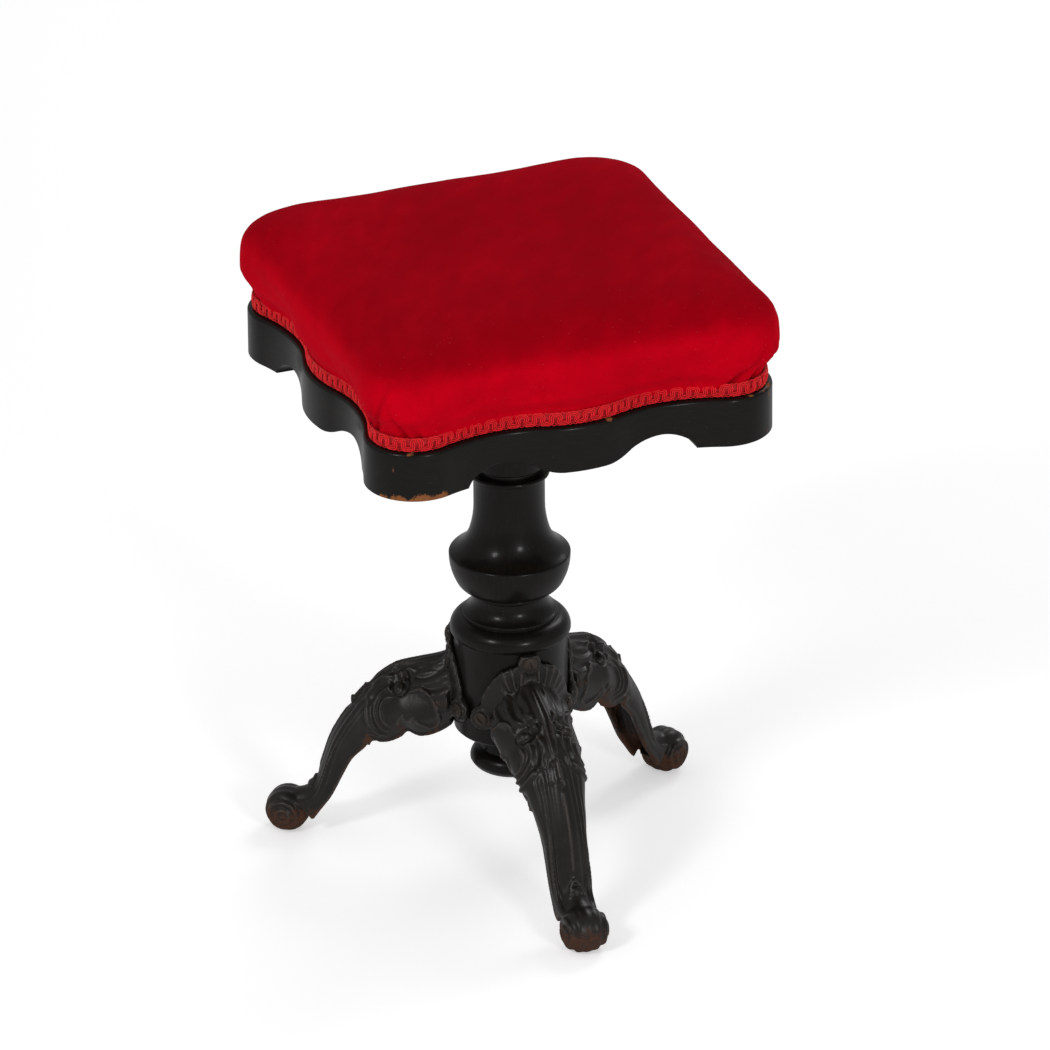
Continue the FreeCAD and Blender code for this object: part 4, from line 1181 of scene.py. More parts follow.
@dataclass
class GimpBraid:
    """The looping braid round the cushion's foot."""

    outline: WavyOutline = WavyOutline()
    ledge: float = 0.0045
    corner: float = 0.0370
    inset: float = 0.0020
    proudest: float = 0.0026
    depth: float = 0.0128
    loops: int = 96
    picots: int = 300
    cord: float = 0.00052
    spacing: float = 0.00158

    def path(self, per_side: int) -> tuple[np.ndarray, np.ndarray]:
        """The line in plan under the middle of the braid's tape.

        Args:
            per_side: points on each side.

        Returns:
            The line and its outward directions.
        """
        line = replace(self.outline, half=self.outline.half - self.ledge, corner=self.corner)
        ring = line.ring(per_side)
        outward = ring_normals(ring)
        return ring - outward * self.inset, outward

    def base_line(self, level: float) -> bpy.types.Object:
        """The closed line that the braid follows, with its outward directions.

        Args:
            level: height of the line.

        Returns:
            A mesh of edges.
        """
        ring, outward = self.path(160)
        mesh = bpy.data.meshes.new("gimp_braid_loops")
        edges = [(k, (k + 1) % len(ring)) for k in range(len(ring))]
        mesh.from_pydata([(x, y, level) for x, y in ring], edges, [])
        layer = mesh.attributes.new("outward", "FLOAT_VECTOR", "POINT")
        flat = np.column_stack([outward, np.zeros(len(ring))]).astype(np.float32)
        layer.data.foreach_set("vector", flat.ravel())
        return linked(mesh.name, mesh)

    def tree(self, finish: bpy.types.Material) -> bpy.types.NodeTree:
        """The braid: three looping cords side by side, picots above and below, and a backing tape.

        Args:
            finish: the braid's material; not used.

        Returns:
            The node tree.
        """
        tree, wire, given = new_group(
            "gimp_braid",
            "GeometryNodeTree",
            {
                "Line": (GEOMETRY, None),
                "Loops": (FLOAT, float(self.loops)),
                "Picots": (FLOAT, float(self.picots)),
                "Cord": (FLOAT, self.cord),
                "Spacing": (FLOAT, self.spacing),
                "Depth": (FLOAT, self.depth),
                "Finish": (MATERIAL, None),
            },
            {"Braid": GEOMETRY},
        )
        cord = braid_cord_group()
        parts = []

        def lay(**sizes: object) -> None:
            """Adds one cord."""
            inputs = {"Line": given["Line"]} | {label.capitalize(): value for label, value in sizes.items()}
            parts.append(wire.add("GeometryNodeGroup", inputs, node_tree=cord).outputs[0])

        rise = wire.math("MULTIPLY", given["Depth"], 0.315)
        for way in (-1.0, 0.0, 1.0):
            lay(
                loops=given["Loops"],
                points=self.loops * 26,
                rise=rise,
                sway=-0.0016,
                aside=wire.math("MULTIPLY", given["Spacing"], way),
                proud=0.0021 if way == 0 else 0.0018,
                weave=0.00025,
                thickness=given["Cord"],
            )
        for way in (-1.0, 1.0):
            lay(
                loops=given["Picots"],
                points=self.picots * 7,
                rise=0.00075,
                sway=0.0007,
                level=wire.math("MULTIPLY", given["Depth"], 0.43 * way),
                proud=0.0014,
                weave=0.0002,
                thickness=0.00042,
                sides=4,
            )
            lay(
                loops=given["Picots"],
                points=self.picots * 4,
                rise=0.0004,
                level=wire.math("MULTIPLY", given["Depth"], 0.33 * way),
                proud=0.0010,
                sides=4,
            )
        curve = wire.add("GeometryNodeMeshToCurve", {0: given["Line"]}).outputs[0]
        tall = wire.math("MULTIPLY", given["Depth"], 0.8)
        inputs = {"Width": 0.0012, "Height": tall}
        band = wire.add("GeometryNodeCurvePrimitiveQuadrilateral", inputs).outputs[0]
        inputs = {"Curve": curve, "Profile Curve": band}
        parts.append(wire.add("GeometryNodeCurveToMesh", inputs).outputs[0])
        join = wire.add("GeometryNodeJoinGeometry")
        for part in parts:
            wire.tree.links.new(part, join.inputs[0])
        whole = wire.add("GeometryNodeRealizeInstances", {0: join.outputs[0]}).outputs[0]
        whole = wire.add("GeometryNodeSetShadeSmooth", {0: whole}).outputs[0]
        whole = wire.add("GeometryNodeSetMaterial", {0: whole, "Material": given["Finish"]}).outputs[0]
        end_group(wire, {"Braid": whole})
        return tree

    def build(self, finishes: Finishes) -> None:
        """Makes, dresses and hands over the braid."""
        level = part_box("seat_rail_1")[1].z + 0.0003 + self.depth / 2
        piece = self.base_line(level)
        run_tree(piece, self.tree(finishes.braid), {"Finish": finishes.braid})
        # Painted shade: how far each point stands out from the tape's line is stored as depth, so the
        # recessed cords and tape render darker.
        points = points_of(piece.data)
        ring, _ = self.path(90)
        gap, _ = nearest_on(points[:, :2], np.vstack([ring, ring[:1]]))
        paint(piece.data, "depth", np.clip(gap / self.proudest, 0, 1))
        dress(piece, finishes.braid)
        hand_over(piece, Body.SEAT, "gimp_braid")


def run_tree(piece: bpy.types.Object, tree: bpy.types.NodeTree, values: dict) -> bpy.types.Object:
    """Runs a geometry tree on a piece and keeps its result as a plain mesh.

    Args:
        piece: the object that the tree starts from.
        tree: the tree.
        values: values for its inputs, by name.

    Returns:
        The piece.
    """
    modifier = piece.modifiers.new(tree.name, "NODES")
    modifier.node_group = tree
    for item in tree.interface.items_tree:
        if item.item_type == "SOCKET" and item.in_out == "INPUT" and item.name in values:
            modifier[item.identifier] = values[item.name]
    piece.update_tag()
    bpy.context.view_layer.update()
    return settle(piece)


@dataclass
class SeatFrame:
    """The four wavy rails, mitred at the corners."""

    outline: WavyOutline = WavyOutline()
    inner: float = 0.138
    arch_end: float = 0.102
    rounding: float = 0.003
    lower_bevel: float = 0.0008
    mitre: float = 0.00005
    corner_stations: int = 18
    under: Line = (
        (0.0, 1.8),
        (20.0, 1.8),
        (44.0, 9.5, -30),
        (72.0, 16.0, 24),
        (92.0, 10.5, 28),
        (102.0, 0.0, 40),
    )
    lower_chips: Line = (
        (259.7, 7.0),
        (264.0, 9.0),
        (267.5, 5.0),
        (256.0, 4.0),
        (300.0, 4.0),
    )
    upper_chips: Line = (
        (310.8, 7.0),
        (343.4, 4.0),
        (346.5, 6.0),
        (350.0, 4.0),
        (262.0, 5.0),
    )

    def stations(self, foot: float) -> tuple[np.ndarray, np.ndarray, np.ndarray]:
        """Where the rail's cuts stand.

        Args:
            foot: level of the rail's underside at its ends.

        Returns:
            Inner place along the rail, outer place in plan, and level of the lower edge.
        """
        under = outline_of(self.under, 4.0) + (0, foot)
        flat_start = np.linspace(0, 0.020, 6)
        across = np.concatenate([flat_start[:-1], under[1:, 0]])
        levels = np.concatenate([np.full(5, under[0, 1]), under[1:, 1]])
        side = self.outline.side()[::-1]
        side = side[side[:, 0] >= -1e-9]
        order = np.argsort(side[:, 0])
        outer = np.interp(across, side[order, 0], side[order, 1])
        inner_along = across.copy()
        corner = side[side[:, 0] > self.arch_end]
        last = np.array([[self.arch_end, outer[-1]]])
        corner_line = np.vstack([last, corner[np.argsort(np.arctan2(corner[:, 1], corner[:, 0]))[::-1]]])
        fan = even_line(corner_line, self.corner_stations)[1:]
        far = np.linspace(self.arch_end, self.inner - self.mitre, self.corner_stations)[1:]
        inner_along = np.concatenate([inner_along, far])
        plan = np.vstack([np.column_stack([across, outer]), fan])
        plan[-1, 0] -= self.mitre
        levels = np.concatenate([levels, np.full(len(fan), foot)])
        inner_along = np.concatenate([-inner_along[:0:-1], inner_along])
        plan = np.vstack([plan[:0:-1] * (-1, 1), plan])
        levels = np.concatenate([levels[:0:-1], levels])
        return inner_along, plan, levels

    def rail(self, number: int, finish: bpy.types.Material) -> None:
        """Makes one rail.

        Args:
            number: 0 to 3, anticlockwise.
            finish: the wood.
        """
        name = f"seat_rail_{number + 1}"
        low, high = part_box(name)
        inner_along, plan, levels = self.stations(low.z)
        ways = np.gradient(plan, axis=0)
        ways /= np.linalg.norm(ways, axis=1)[:, None]
        outward = np.column_stack([-ways[:, 1], ways[:, 0]])
        top, bevel, rows = high.z, self.lower_bevel, []
        inner_line = np.column_stack([inner_along, np.full(len(plan), self.inner)])
        rows.append(np.column_stack([inner_line, np.full(len(plan), top)]))
        for angle in np.radians(np.linspace(0, 90, 7)):
            inset = self.rounding * (1 - math.sin(angle))
            drop = self.rounding * (1 - math.cos(angle))
            rows.append(np.column_stack([plan - outward * inset, np.full(len(plan), top - drop)]))
        for share in (0.35, 0.7):
            rows.append(np.column_stack([plan, (top - self.rounding) * (1 - share) + levels * share]))
        rows.append(np.column_stack([plan, levels + bevel]))
        rows.append(np.column_stack([plan - outward * bevel, levels]))
        rows.append(np.column_stack([inner_line, levels]))
        grid = np.stack(rows, axis=1)
        count, columns = grid.shape[:2]
        faces = grid_faces(count, columns, False, True)
        faces += cap_faces(count, columns)
        turn = self.outline.turn + 90 * number
        points = turn_about_axis(grid.reshape(-1, 3), turn)
        piece = new_piece(f"rail_{number + 1}", points, faces)
        piece.data.shade_smooth()
        piece.data.set_sharp_from_angle(angle=math.radians(38))
        mark_edges(piece, 4.0)
        self.chip(piece, low.z, top)
        map_grain(piece, False, turn)
        dress(piece, finish)
        hand_over(piece, Body.SEAT, name)

    def chip(self, piece: bpy.types.Object, foot: float, top: float) -> None:
        """Marks the places where a rail's paint is chipped off.

        Args:
            piece: the rail.
            foot: level of its underside.
            top: level of its ledge.
        """
        points = points_of(piece.data)
        azimuth = np.degrees(np.arctan2(points[:, 1], points[:, 0])) % 360
        radius = np.hypot(points[:, 0], points[:, 1])
        layer = piece.data.attributes["edge"].data
        edge = np.empty(len(points), np.float32)
        layer.foreach_get("value", edge)
        for level, spots in ((foot, self.lower_chips), (top, self.upper_chips)):
            for turn, reach in spots:
                along = np.radians((azimuth - turn + 180) % 360 - 180) * radius
                gap = np.hypot(along, 1.8 * (points[:, 2] - level)) / (reach * MM)
                edge += (1.5 * np.exp(-(gap**2)) * (radius > self.inner + 0.01)).astype(np.float32)
        layer.foreach_set("value", edge)

    def build(self, finishes: Finishes) -> None:
        """Makes the four rails and dresses the wood inside them."""
        for number in range(4):
            self.rail(number, finishes.ebonised)
        for name in ("seat_board", *(f"corner_block_{k + 1}" for k in range(4))):
            dress(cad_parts[name], finishes.plain)


@dataclass
class TurnedWork:
    """The column, its knob, the seat's hub and the nut, turned about the axis."""

    segments: int = 144
    column: Line = (
        (19.6, 360.8),
        (33.2, 360.8),
        (33.2, 356.4, 128),
        (30.4, 355.4),
        (30.4, 329.4),
        (34.5, 303.5, -18),
        (51.0, 284.5, -44),
        (51.9, 283.2, 40),
        (51.9, 282.0),
        (46.5, 259.4, 27),
        (36.8, 250.8, 52),
        (33.0, 250.5),
        (33.0, 246.1, 140),
        (31.8, 245.7),
        (31.8, 243.5),
        (40.2, 229.0, -62),
        (40.9, 228.6),
        (40.9, 226.6),
        (40.7, 225.3),
        (51.7, 213.3, 86),
        (50.0, 209.1, 60),
        (48.8, 207.9),
        (48.8, 121.0),
        (46.3, 118.5),
        (22.0, 118.5),
        (22.0, 318.8),
        (19.6, 318.8),
    )
    knob: Line = (
        (0.0, 144.4),
        (21.9, 144.4),
        (21.9, 118.45),
        (33.8, 118.45),
        (33.8, 116.4),
        (26.3, 98.9, -80),
        (35.3, 88.4, 95),
        (20.3, 79.2, 70),
        (0.0, 78.0, 14),
    )
    hub: Line = (
        (13.1, 457.5),
        (38.0, 457.5),
        (38.0, 449.5),
        (33.0, 443.5, 70),
        (27.0, 442.5),
        (31.0, 398.9, -60),
        (32.5, 397.9),
        (32.5, 392.9, 120),
        (31.0, 391.9),
        (31.0, 366.4),
        (29.5, 364.9),
        (13.1, 364.9),
    )
    nut: Line = (
        (13.1, 364.6),
        (26.0, 364.6),
        (27.0, 363.6),
        (27.0, 360.8),
        (19.5, 360.8),
        (19.5, 318.8),
        (13.1, 318.8),
    )

    def turn(self, name: str, steps: Line, edge: float) -> bpy.types.Object:
        """Turns one piece.

        Args:
            name: its name.
            steps: half of its section in millimetres.
            edge: rounding of its sharp edges in metres.

        Returns:
            The piece.
        """
        outline = outline_of(steps, 5.0)
        piece = spun(name, outline, self.segments)
        soften_edges(piece, edge)
        mark_edges(piece, 4.0)
        map_grain(piece, True)
        return piece

    def build(self, finishes: Finishes) -> None:
        """Makes, dresses and hands over the turned pieces."""
        wood = (
            ("turned_column", self.column, Body.BASE, "column"),
            ("turned_knob", self.knob, Body.BASE, "column_drop"),
            ("turned_hub", self.hub, Body.SEAT, "seat_hub"),
        )
        for name, steps, body, node in wood:
            piece = self.turn(name, steps, 0.0006)
            dress(piece, finishes.ebonised)
            hand_over(piece, body, node)
        flange = self.turn("flanged_nut", self.nut, 0.0003)
        dress(flange, finishes.iron)
        hand_over(flange, Body.BASE, "spindle_nut")
        for name in ("spindle_plate", "stop_washer", "stop_nut"):
            dress(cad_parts[name], finishes.steel)


@dataclass
class ThreadedSpindle:
    """The seat's iron screw with its coarse thread."""

    crest: float = 0.0130
    core: float = 0.0104
    tenon: float = 0.0100
    foot: float = 0.0090
    pitch: float = 0.008
    row_step: float = 0.0005
    segments: int = 48

    def radius(self, angle: np.ndarray, level: np.ndarray, low: float, high: float) -> np.ndarray:
        """Radius of the thread.

        Args:
            angle: direction about the axis.
            level: height of each row.
            low: where the thread starts.
            high: where it ends.

        Returns:
            The radius of each point.
        """
        share = (level[:, None] / self.pitch - angle[None, :] / (2 * math.pi)) % 1.0
        tooth = smooth_step(np.abs(share - 0.5), 0.31, 0.21)
        ends = smooth_step(level, low, low + 0.003) * smooth_step(level, high, high - 0.003)
        return self.core + (self.crest - self.core) * (1 - (1 - tooth) * ends[:, None])

    def build(self, finishes: Finishes) -> None:
        """Makes, dresses and hands over the screw."""
        low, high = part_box("spindle")
        stem_foot = low.z + 0.016
        stem_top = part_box("spindle_plate")[0].z
        levels = np.arange(stem_foot, stem_top, self.row_step)
        angles = round_angles(self.segments)
        radii = self.radius(angles, levels, stem_foot + 0.002, stem_top - 0.020)
        rings = [(low.z, self.foot * 0.85), (low.z + 0.001, self.foot), (stem_foot, self.foot)]
        rings += zip(levels, radii)
        rings += [(stem_top, self.crest), (stem_top, self.tenon), (high.z, self.tenon)]
        points = [ring_at(radius, angles, level) for level, radius in rings]
        faces = grid_faces(len(points), self.segments, False, True)
        faces += cap_faces(len(points), self.segments)
        piece = new_piece("threaded_spindle", np.vstack(points), faces)
        piece.data.set_sharp_from_angle(angle=math.radians(40))
        mark_edges(piece, 3.0)
        dress(piece, finishes.steel)
        hand_over(piece, Body.SEAT, "spindle")


def slotted_head_group() -> bpy.types.NodeTree:
    """A round slotted screw head on each point, looking along the point's own direction."""
    tree, wire, given = new_group(
        "slotted_heads",
        "GeometryNodeTree",
        {
            "Spots": (GEOMETRY, None),
            "Head Radius": (FLOAT, 0.006),
            "Dome": (FLOAT, 0.0024),
            "Rim": (FLOAT, 0.0008),
            "Slot Width": (FLOAT, 0.0013),
            "Slot Depth": (FLOAT, 0.0012),
            "Seed": (WHOLE, 7),
            "Finish": (MATERIAL, None),
        },
        {"Heads": GEOMETRY},
    )
    inputs = {"Vertices": 40, "Side Segments": 1, "Fill Segments": 6}
    inputs |= {"Radius": given["Head Radius"], "Depth": 0.004}
    blank = wire.add("GeometryNodeMeshCylinder", inputs, fill_type="NGON")
    place = wire.add("GeometryNodeInputPosition").outputs[0]
    parts = wire.add("ShaderNodeSeparateXYZ", {0: place})
    flat = wire.add("ShaderNodeCombineXYZ", {0: parts.outputs[0], 1: parts.outputs[1], 2: 0.0}).outputs[0]
    reach = wire.add("ShaderNodeVectorMath", {0: flat}, operation="LENGTH").outputs["Value"]
    share = wire.math("DIVIDE", reach, given["Head Radius"])
    rise = wire.math("MULTIPLY", wire.math("SUBTRACT", 1.0, wire.math("POWER", share, 2.0)), given["Dome"])
    rise = wire.math("ADD", wire.math("SUBTRACT", rise, 0.002), given["Rim"])
    upper = wire.math("GREATER_THAN", parts.outputs[2], 0.0)
    lifted = wire.add("ShaderNodeCombineXYZ", {0: 0.0, 1: 0.0, 2: rise}).outputs[0]
    inputs = {"Geometry": blank.outputs["Mesh"], "Selection": upper, "Offset": lifted}
    head = wire.add("GeometryNodeSetPosition", inputs).outputs[0]
    long = wire.math("MULTIPLY", given["Head Radius"], 2.4)
    size = wire.add("ShaderNodeCombineXYZ", {0: long, 1: given["Slot Width"], 2: 0.01}).outputs[0]
    bar = wire.add("GeometryNodeMeshCube", {"Size": size}).outputs[0]
    top = wire.math("ADD", given["Dome"], given["Rim"])
    level = wire.math("ADD", wire.math("SUBTRACT", top, given["Slot Depth"]), 0.005)
    shift = wire.add("ShaderNodeCombineXYZ", {2: level}).outputs[0]
    bar = wire.add("GeometryNodeTransform", {"Geometry": bar, "Translation": shift}).outputs[0]
    inputs = {"Mesh 1": head, "Mesh 2": bar}
    slotted = wire.add("GeometryNodeMeshBoolean", inputs, operation="DIFFERENCE", solver="FLOAT").outputs[0]
    facing = stored_way(wire, "facing")
    aim = wire.add("FunctionNodeAlignRotationToVector", {"Vector": facing}, axis="Z").outputs[0]
    inputs = {2: 0.0, 3: math.pi, "Seed": given["Seed"]}
    chance = wire.add("FunctionNodeRandomValue", inputs, data_type="FLOAT")
    spin = wire.add("FunctionNodeAxisAngleToRotation", {"Angle": chance.outputs[1]}).outputs[0]
    inputs = {"Rotation": aim, "Rotate By": spin}
    aim = wire.add("FunctionNodeRotateRotation", inputs, rotation_space="LOCAL").outputs[0]
    inputs = {"Points": given["Spots"], "Instance": slotted, "Rotation": aim}
    heads = wire.add("GeometryNodeInstanceOnPoints", inputs).outputs[0]
    heads = wire.add("GeometryNodeRealizeInstances", {0: heads}).outputs[0]
    heads = wire.add("GeometryNodeSetMaterial", {0: heads, "Material": given["Finish"]}).outputs[0]
    end_group(wire, {"Heads": heads})
    return tree


@dataclass
class Screws:
    """The slotted screws of the legs and of the seat's iron plate."""

    seat_radius: float = 0.0549
    boss_level: float = 0.2005
    ear_level: float = 0.147
    leg_head: float = 0.0060
    leg_dome: float = 0.0018
    plate_spot: float = 0.044
    block_spot: float = 0.1242
    small_head: float = 0.0042
    small_dome: float = 0.0013

    def spots(self, name: str, places: list[tuple[Vector, Vector]]) -> bpy.types.Object:
        """Points with the directions that their screws look in.

        Args:
            name: the piece's name.
            places: place and direction of each screw.

        Returns:
            A mesh of points.
        """
        mesh = bpy.data.meshes.new(name)
        mesh.from_pydata([tuple(place) for place, _ in places], [], [])
        layer = mesh.attributes.new("facing", "FLOAT_VECTOR", "POINT")
        for number, (_, way) in enumerate(places):
            layer.data[number].vector = way
        return linked(name, mesh)

    def finish(self, piece: bpy.types.Object, tree: object, values: dict, finish: bpy.types.Material) -> None:
        """Makes the heads on a piece's points and dresses them."""
        run_tree(piece, tree, {**values, "Finish": finish})
        piece.data.shade_smooth()
        piece.data.set_sharp_from_angle(angle=math.radians(32))
        mark_edges(piece, 2.0)
        dress(piece, finish)

    def build(self, finishes: Finishes) -> None:
        """Makes, dresses and hands over all screws."""
        tree = slotted_head_group()
        places = []
        for azimuth in LEG_AZIMUTHS:
            for turn, level in screw_places(self.boss_level, self.ear_level):
                angle = math.radians(azimuth + turn)
                way = Vector((math.cos(angle), math.sin(angle), 0))
                places.append((way * self.seat_radius + Vector((0, 0, level)), way))
        heads = self.spots("leg_screw_heads", places)
        values = {"Head Radius": self.leg_head, "Dome": self.leg_dome, "Seed": 5}
        self.finish(heads, tree, values, finishes.rusty)
        nodes = [f"leg_{k}_{part}" for k in (1, 2, 3) for part in ("upper_screw", "ear_screws")]
        hand_over(heads, Body.BASE, *nodes)
        down = Vector((0, 0, -1))
        turn = Matrix.Rotation(math.radians(SEAT_TURN), 3, "Z")
        under_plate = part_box("spindle_plate")[0].z
        under_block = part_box("corner_block_1")[0].z
        places = []
        for x, y in ((1, 0), (0, 1), (-1, 0), (0, -1)):
            places.append((turn @ Vector((x, y, 0)) * self.plate_spot + Vector((0, 0, under_plate)), down))
        for x, y in ((1, 1), (-1, 1), (-1, -1), (1, -1)):
            places.append((turn @ Vector((x, y, 0)) * self.block_spot + Vector((0, 0, under_block)), down))
        small = self.spots("seat_screw_heads", places)
        values = {"Head Radius": self.small_head, "Dome": self.small_dome, "Slot Width": 0.001, "Seed": 11}
        self.finish(small, tree, values, finishes.rusty)
        hand_over(small, Body.SEAT, "plate_screws", "block_screws")


@dataclass(frozen=True)
class Stroke:
    """A rounded ridge of the carving, or a groove where its height is below nought."""

    line: Line
    half: float
    height: float


@dataclass(frozen=True)
class Bead:
    """A round bead of the carving, or a bowl where its height is below nought."""

    middle: tuple[float, float]
    radius: float
    height: float


SCROLL_MIDDLE = (95.5, 132.8)
SCROLL_RINGS = ((26.0, 3.6, 2.6), (18.9, 3.1, 2.3), (13.2, 2.7, 2.1))
SHELL_FOOT = (3.0, 164.0)
SHELL_TIPS = ((7.5, 196.0), (16.0, 197.0), (23.5, 194.0), (30.5, 188.5), (36.0, 181.0), (40.5, 171.5))
PANEL_LINE = ((84, 152), (70, 155.5), (59, 146.5), (55.8, 133), (61.5, 123.5), (71.5, 126), (78, 132.5))
FLANK_CARVING = (
    Bead((93.5, 157.0), 10.0, -2.72),
    Bead((93.6, 153.6), 4.6, 5.2),
    Bead((92.8, 160.2), 3.4, 3.8),
    Stroke(((99.0, 166.0), (103.5, 157.0), (102.0, 149.0)), 2.6, 1.8),
    Stroke(PANEL_LINE, 2.4, 1.9),
    Stroke(((78.0, 132.5), (83.5, 129.6), (88.3, 132.5), (91.5, 128.5), (93.3, 122.5)), 2.3, 1.9),
    Stroke(((90.0, 165.0), (76.0, 165.5), (62.0, 172.0), (50.0, 183.0)), 4.2, 2.6),
    Stroke(((85.0, 160.0), (72.0, 159.5), (58.0, 165.0), (46.0, 174.0)), 4.2, 2.6),
    Stroke(((76.0, 155.0), (64.0, 153.5), (54.0, 156.0), (44.0, 163.0)), 4.2, 2.6),
    Bead((119.0, 101.5), 5.0, 2.6),
    Stroke(((112.0, 108.0), (119.0, 108.5), (124.5, 101.5), (120.0, 96.5)), 2.0, 1.6),
)
CROWN_CARVING = (
    Stroke(((0.0, 4.6), (25.0, 4.4), (60.0, 2.6), (88.0, 0.6)), 2.6, 2.0),
    Stroke(((8.0, 0.0), (40.0, 0.0), (78.0, 0.0)), 1.8, -1.2),
    Stroke(((111.0, 0.0), (140.0, 0.0), (186.0, 0.0)), 2.3, 1.7),
    Stroke(((86.0, 0.0), (97.0, 0.0), (108.0, 0.0)), 3.2, 3.0),
    Stroke(((88.0, 4.0), (96.0, 7.6), (105.0, 7.8)), 3.0, 2.8),
    Bead((107.5, 0.0), 3.4, 2.6),
    Bead((105.0, 7.8), 3.2, 2.4),
    Stroke(((190.0, 0.0), (197.0, 4.0), (205.0, 5.5)), 2.2, 2.4),
    Bead((203.0, 8.5), 3.4, 2.4),
    Bead((200.0, 0.0), 4.0, 2.6),
)


@dataclass
class CarvedLegs:
    """The three hollow iron legs with their scrolls, leaves and rolled feet, modelled along +X."""

    azimuths: tuple[float, ...] = LEG_AZIMUTHS
    crown: Line = (
        (50.5, 186.0),
        (64.2, 180.0),
        (82.2, 174.0),
        (103.1, 164.5),
        (123.3, 146.0),
        (142.3, 121.5),
        (157.3, 95.5),
        (165.9, 70.0),
        (172.9, 49.4),
        (182.5, 40.5),
        (192.5, 37.1),
    )
    under: Line = (
        (46.2, 124.0),
        (57.0, 116.5),
        (67.0, 111.5),
        (77.0, 110.0),
        (85.0, 113.5),
        (91.0, 107.5),
        (101.0, 101.5),
        (111.0, 99.5),
        (118.0, 102.0),
        (123.5, 92.9),
        (136.3, 78.6),
        (145.8, 60.0),
        (154.8, 41.1),
        (164.4, 27.0),
        (172.4, 15.0),
    )
    spread: Line = (
        (0.0, 1.0),
        (0.08, 1.0),
        (0.17, 0.95),
        (0.27, 0.80),
        (0.40, 0.60),
        (0.53, 0.33),
        (0.66, 0.13),
        (1.0, 0.02),
    )
    hip_half: float = 35.0
    shin_half: float = 16.5
    crown_half: float = 13.0
    wall: float = 4.5
    hollow_drop: float = 14.0
    hollow_start: float = 0.075
    flat_round_screw: float = 8.2
    ring_radius: float = 7.8
    ring_half: float = 1.3
    saddle_inner: float = 48.9
    saddle_outer: float = 53.4
    head_seat: float = 54.9
    boss_level: float = 200.5
    boss_radius: float = 9.0
    ear_level: float = 147.0
    ear_radius: float = 11.0
    under_collar: float = 207.6
    reach: float = 197.5
    ball: float = 19.2
    ball_rise: float = 18.5
    ball_half: float = 20.3
    flutes: int = 5
    coarse: float = 0.0016
    fine: float = 0.00125
    shield: Line = (
        (131.0, 20.0),
        (136.0, 36.0),
        (147.0, 45.0),
        (158.0, 47.5),
        (166.0, 47.0),
        (175.0, 42.0),
        (184.0, 36.0),
        (192.0, 28.0),
        (198.0, 12.0),
        (201.0, 8.0),
    )

    def section(
        self, crown: np.ndarray, under: np.ndarray, spread: float, inset: float, drop: float
    ) -> np.ndarray:
        """One cut across the leg.

        Args:
            crown: top of the cut, as distance and height.
            under: its lower edge.
            spread: how far its sides swell, from 0 to 1.
            inset: how far it lies inside the outer face.
            drop: how far its sides run on below the lower edge.

        Returns:
            The cut's points, from one lower edge over the crown to the other.
        """
        up = crown - under
        tall = float(np.hypot(*up))
        up = up / tall
        tall -= inset
        swell = (self.hip_half - self.shin_half) * spread
        belly = self.shin_half + swell - inset
        lip = belly - 1.5 - swell * 0.6
        top = self.crown_half - inset
        ridge = top * (1 - 0.45 * spread)
        shape = (
            (-lip, -drop),
            (-(lip + belly) / 2 - 0.8, tall * 0.18),
            (-belly, tall * 0.40),
            (-(belly * 0.6 + ridge * 0.4), tall * 0.70),
            (-ridge, tall - ridge * 0.75),
            (-ridge * 0.6, tall - ridge * 0.22),
            (0.0, tall),
        )
        half = np.array(shape)
        whole = np.vstack([half, half[-2::-1] * (-1, 1)])
        line = smooth_line(whole, 57)
        spots = under + line[:, 1:2] * up
        return np.column_stack([spots[:, 0], line[:, 0], spots[:, 1]])

    def trunk(self, name: str, inset: float, drop: float, first: float) -> bpy.types.Object:
        """The leg's body or its hollow as a closed solid.

        Args:
            name: the piece's name.
            inset: how far it lies inside the outer face, in millimetres.
            drop: how far it runs on below the lower edge.
            first: share of the leg's length where it starts.

        Returns:
            The piece.
        """
        count = 96
        crown, under = smooth_line(self.crown, count), smooth_line(self.under, count)
        shares = np.linspace(0, 1, count)
        spread = np.interp(shares, *np.array(self.spread).T)
        rows = []
        for k in range(round(first * (count - 1)), count):
            rows.append(self.section(crown[k], under[k], float(spread[k]), inset, drop))
        columns = len(rows[0])
        faces = grid_faces(len(rows), columns, False, True)
        faces += cap_faces(len(rows), columns)
        return new_piece(name, np.vstack(rows) * MM, faces)

    def plate(self) -> bpy.types.Object:
        """The shield that hugs the column."""
        tall, wide = 48, 60
        levels = np.linspace(self.shield[0][0], self.shield[-1][0], tall)
        outline = np.array(self.shield)
        turns = np.interp(levels, outline[:, 0], outline[:, 1])
        angles = np.radians(turns[:, None] * np.linspace(-1, 1, wide)[None, :])
        rows = []
        for radius in (self.saddle_outer, self.saddle_inner):
            grid = [radius * np.cos(angles), radius * np.sin(angles), levels[:, None] + 0 * angles]
            rows.append(np.stack(grid, axis=2).reshape(-1, 3))
        faces = grid_faces(tall, wide)
        behind = tall * wide
        inner = [tuple(behind + k for k in reversed(face)) for face in faces]
        rim = [*range(wide), *(wide * r + wide - 1 for r in range(1, tall))]
        rim += [(tall - 1) * wide + c for c in range(wide - 2, -1, -1)]
        rim += [wide * r for r in range(tall - 2, 0, -1)]
        walls = [(a, b, b + behind, a + behind) for a, b in zip(rim, rim[1:] + rim[:1])]
        return new_piece("shield", np.vstack(rows) * MM, faces + inner + walls)

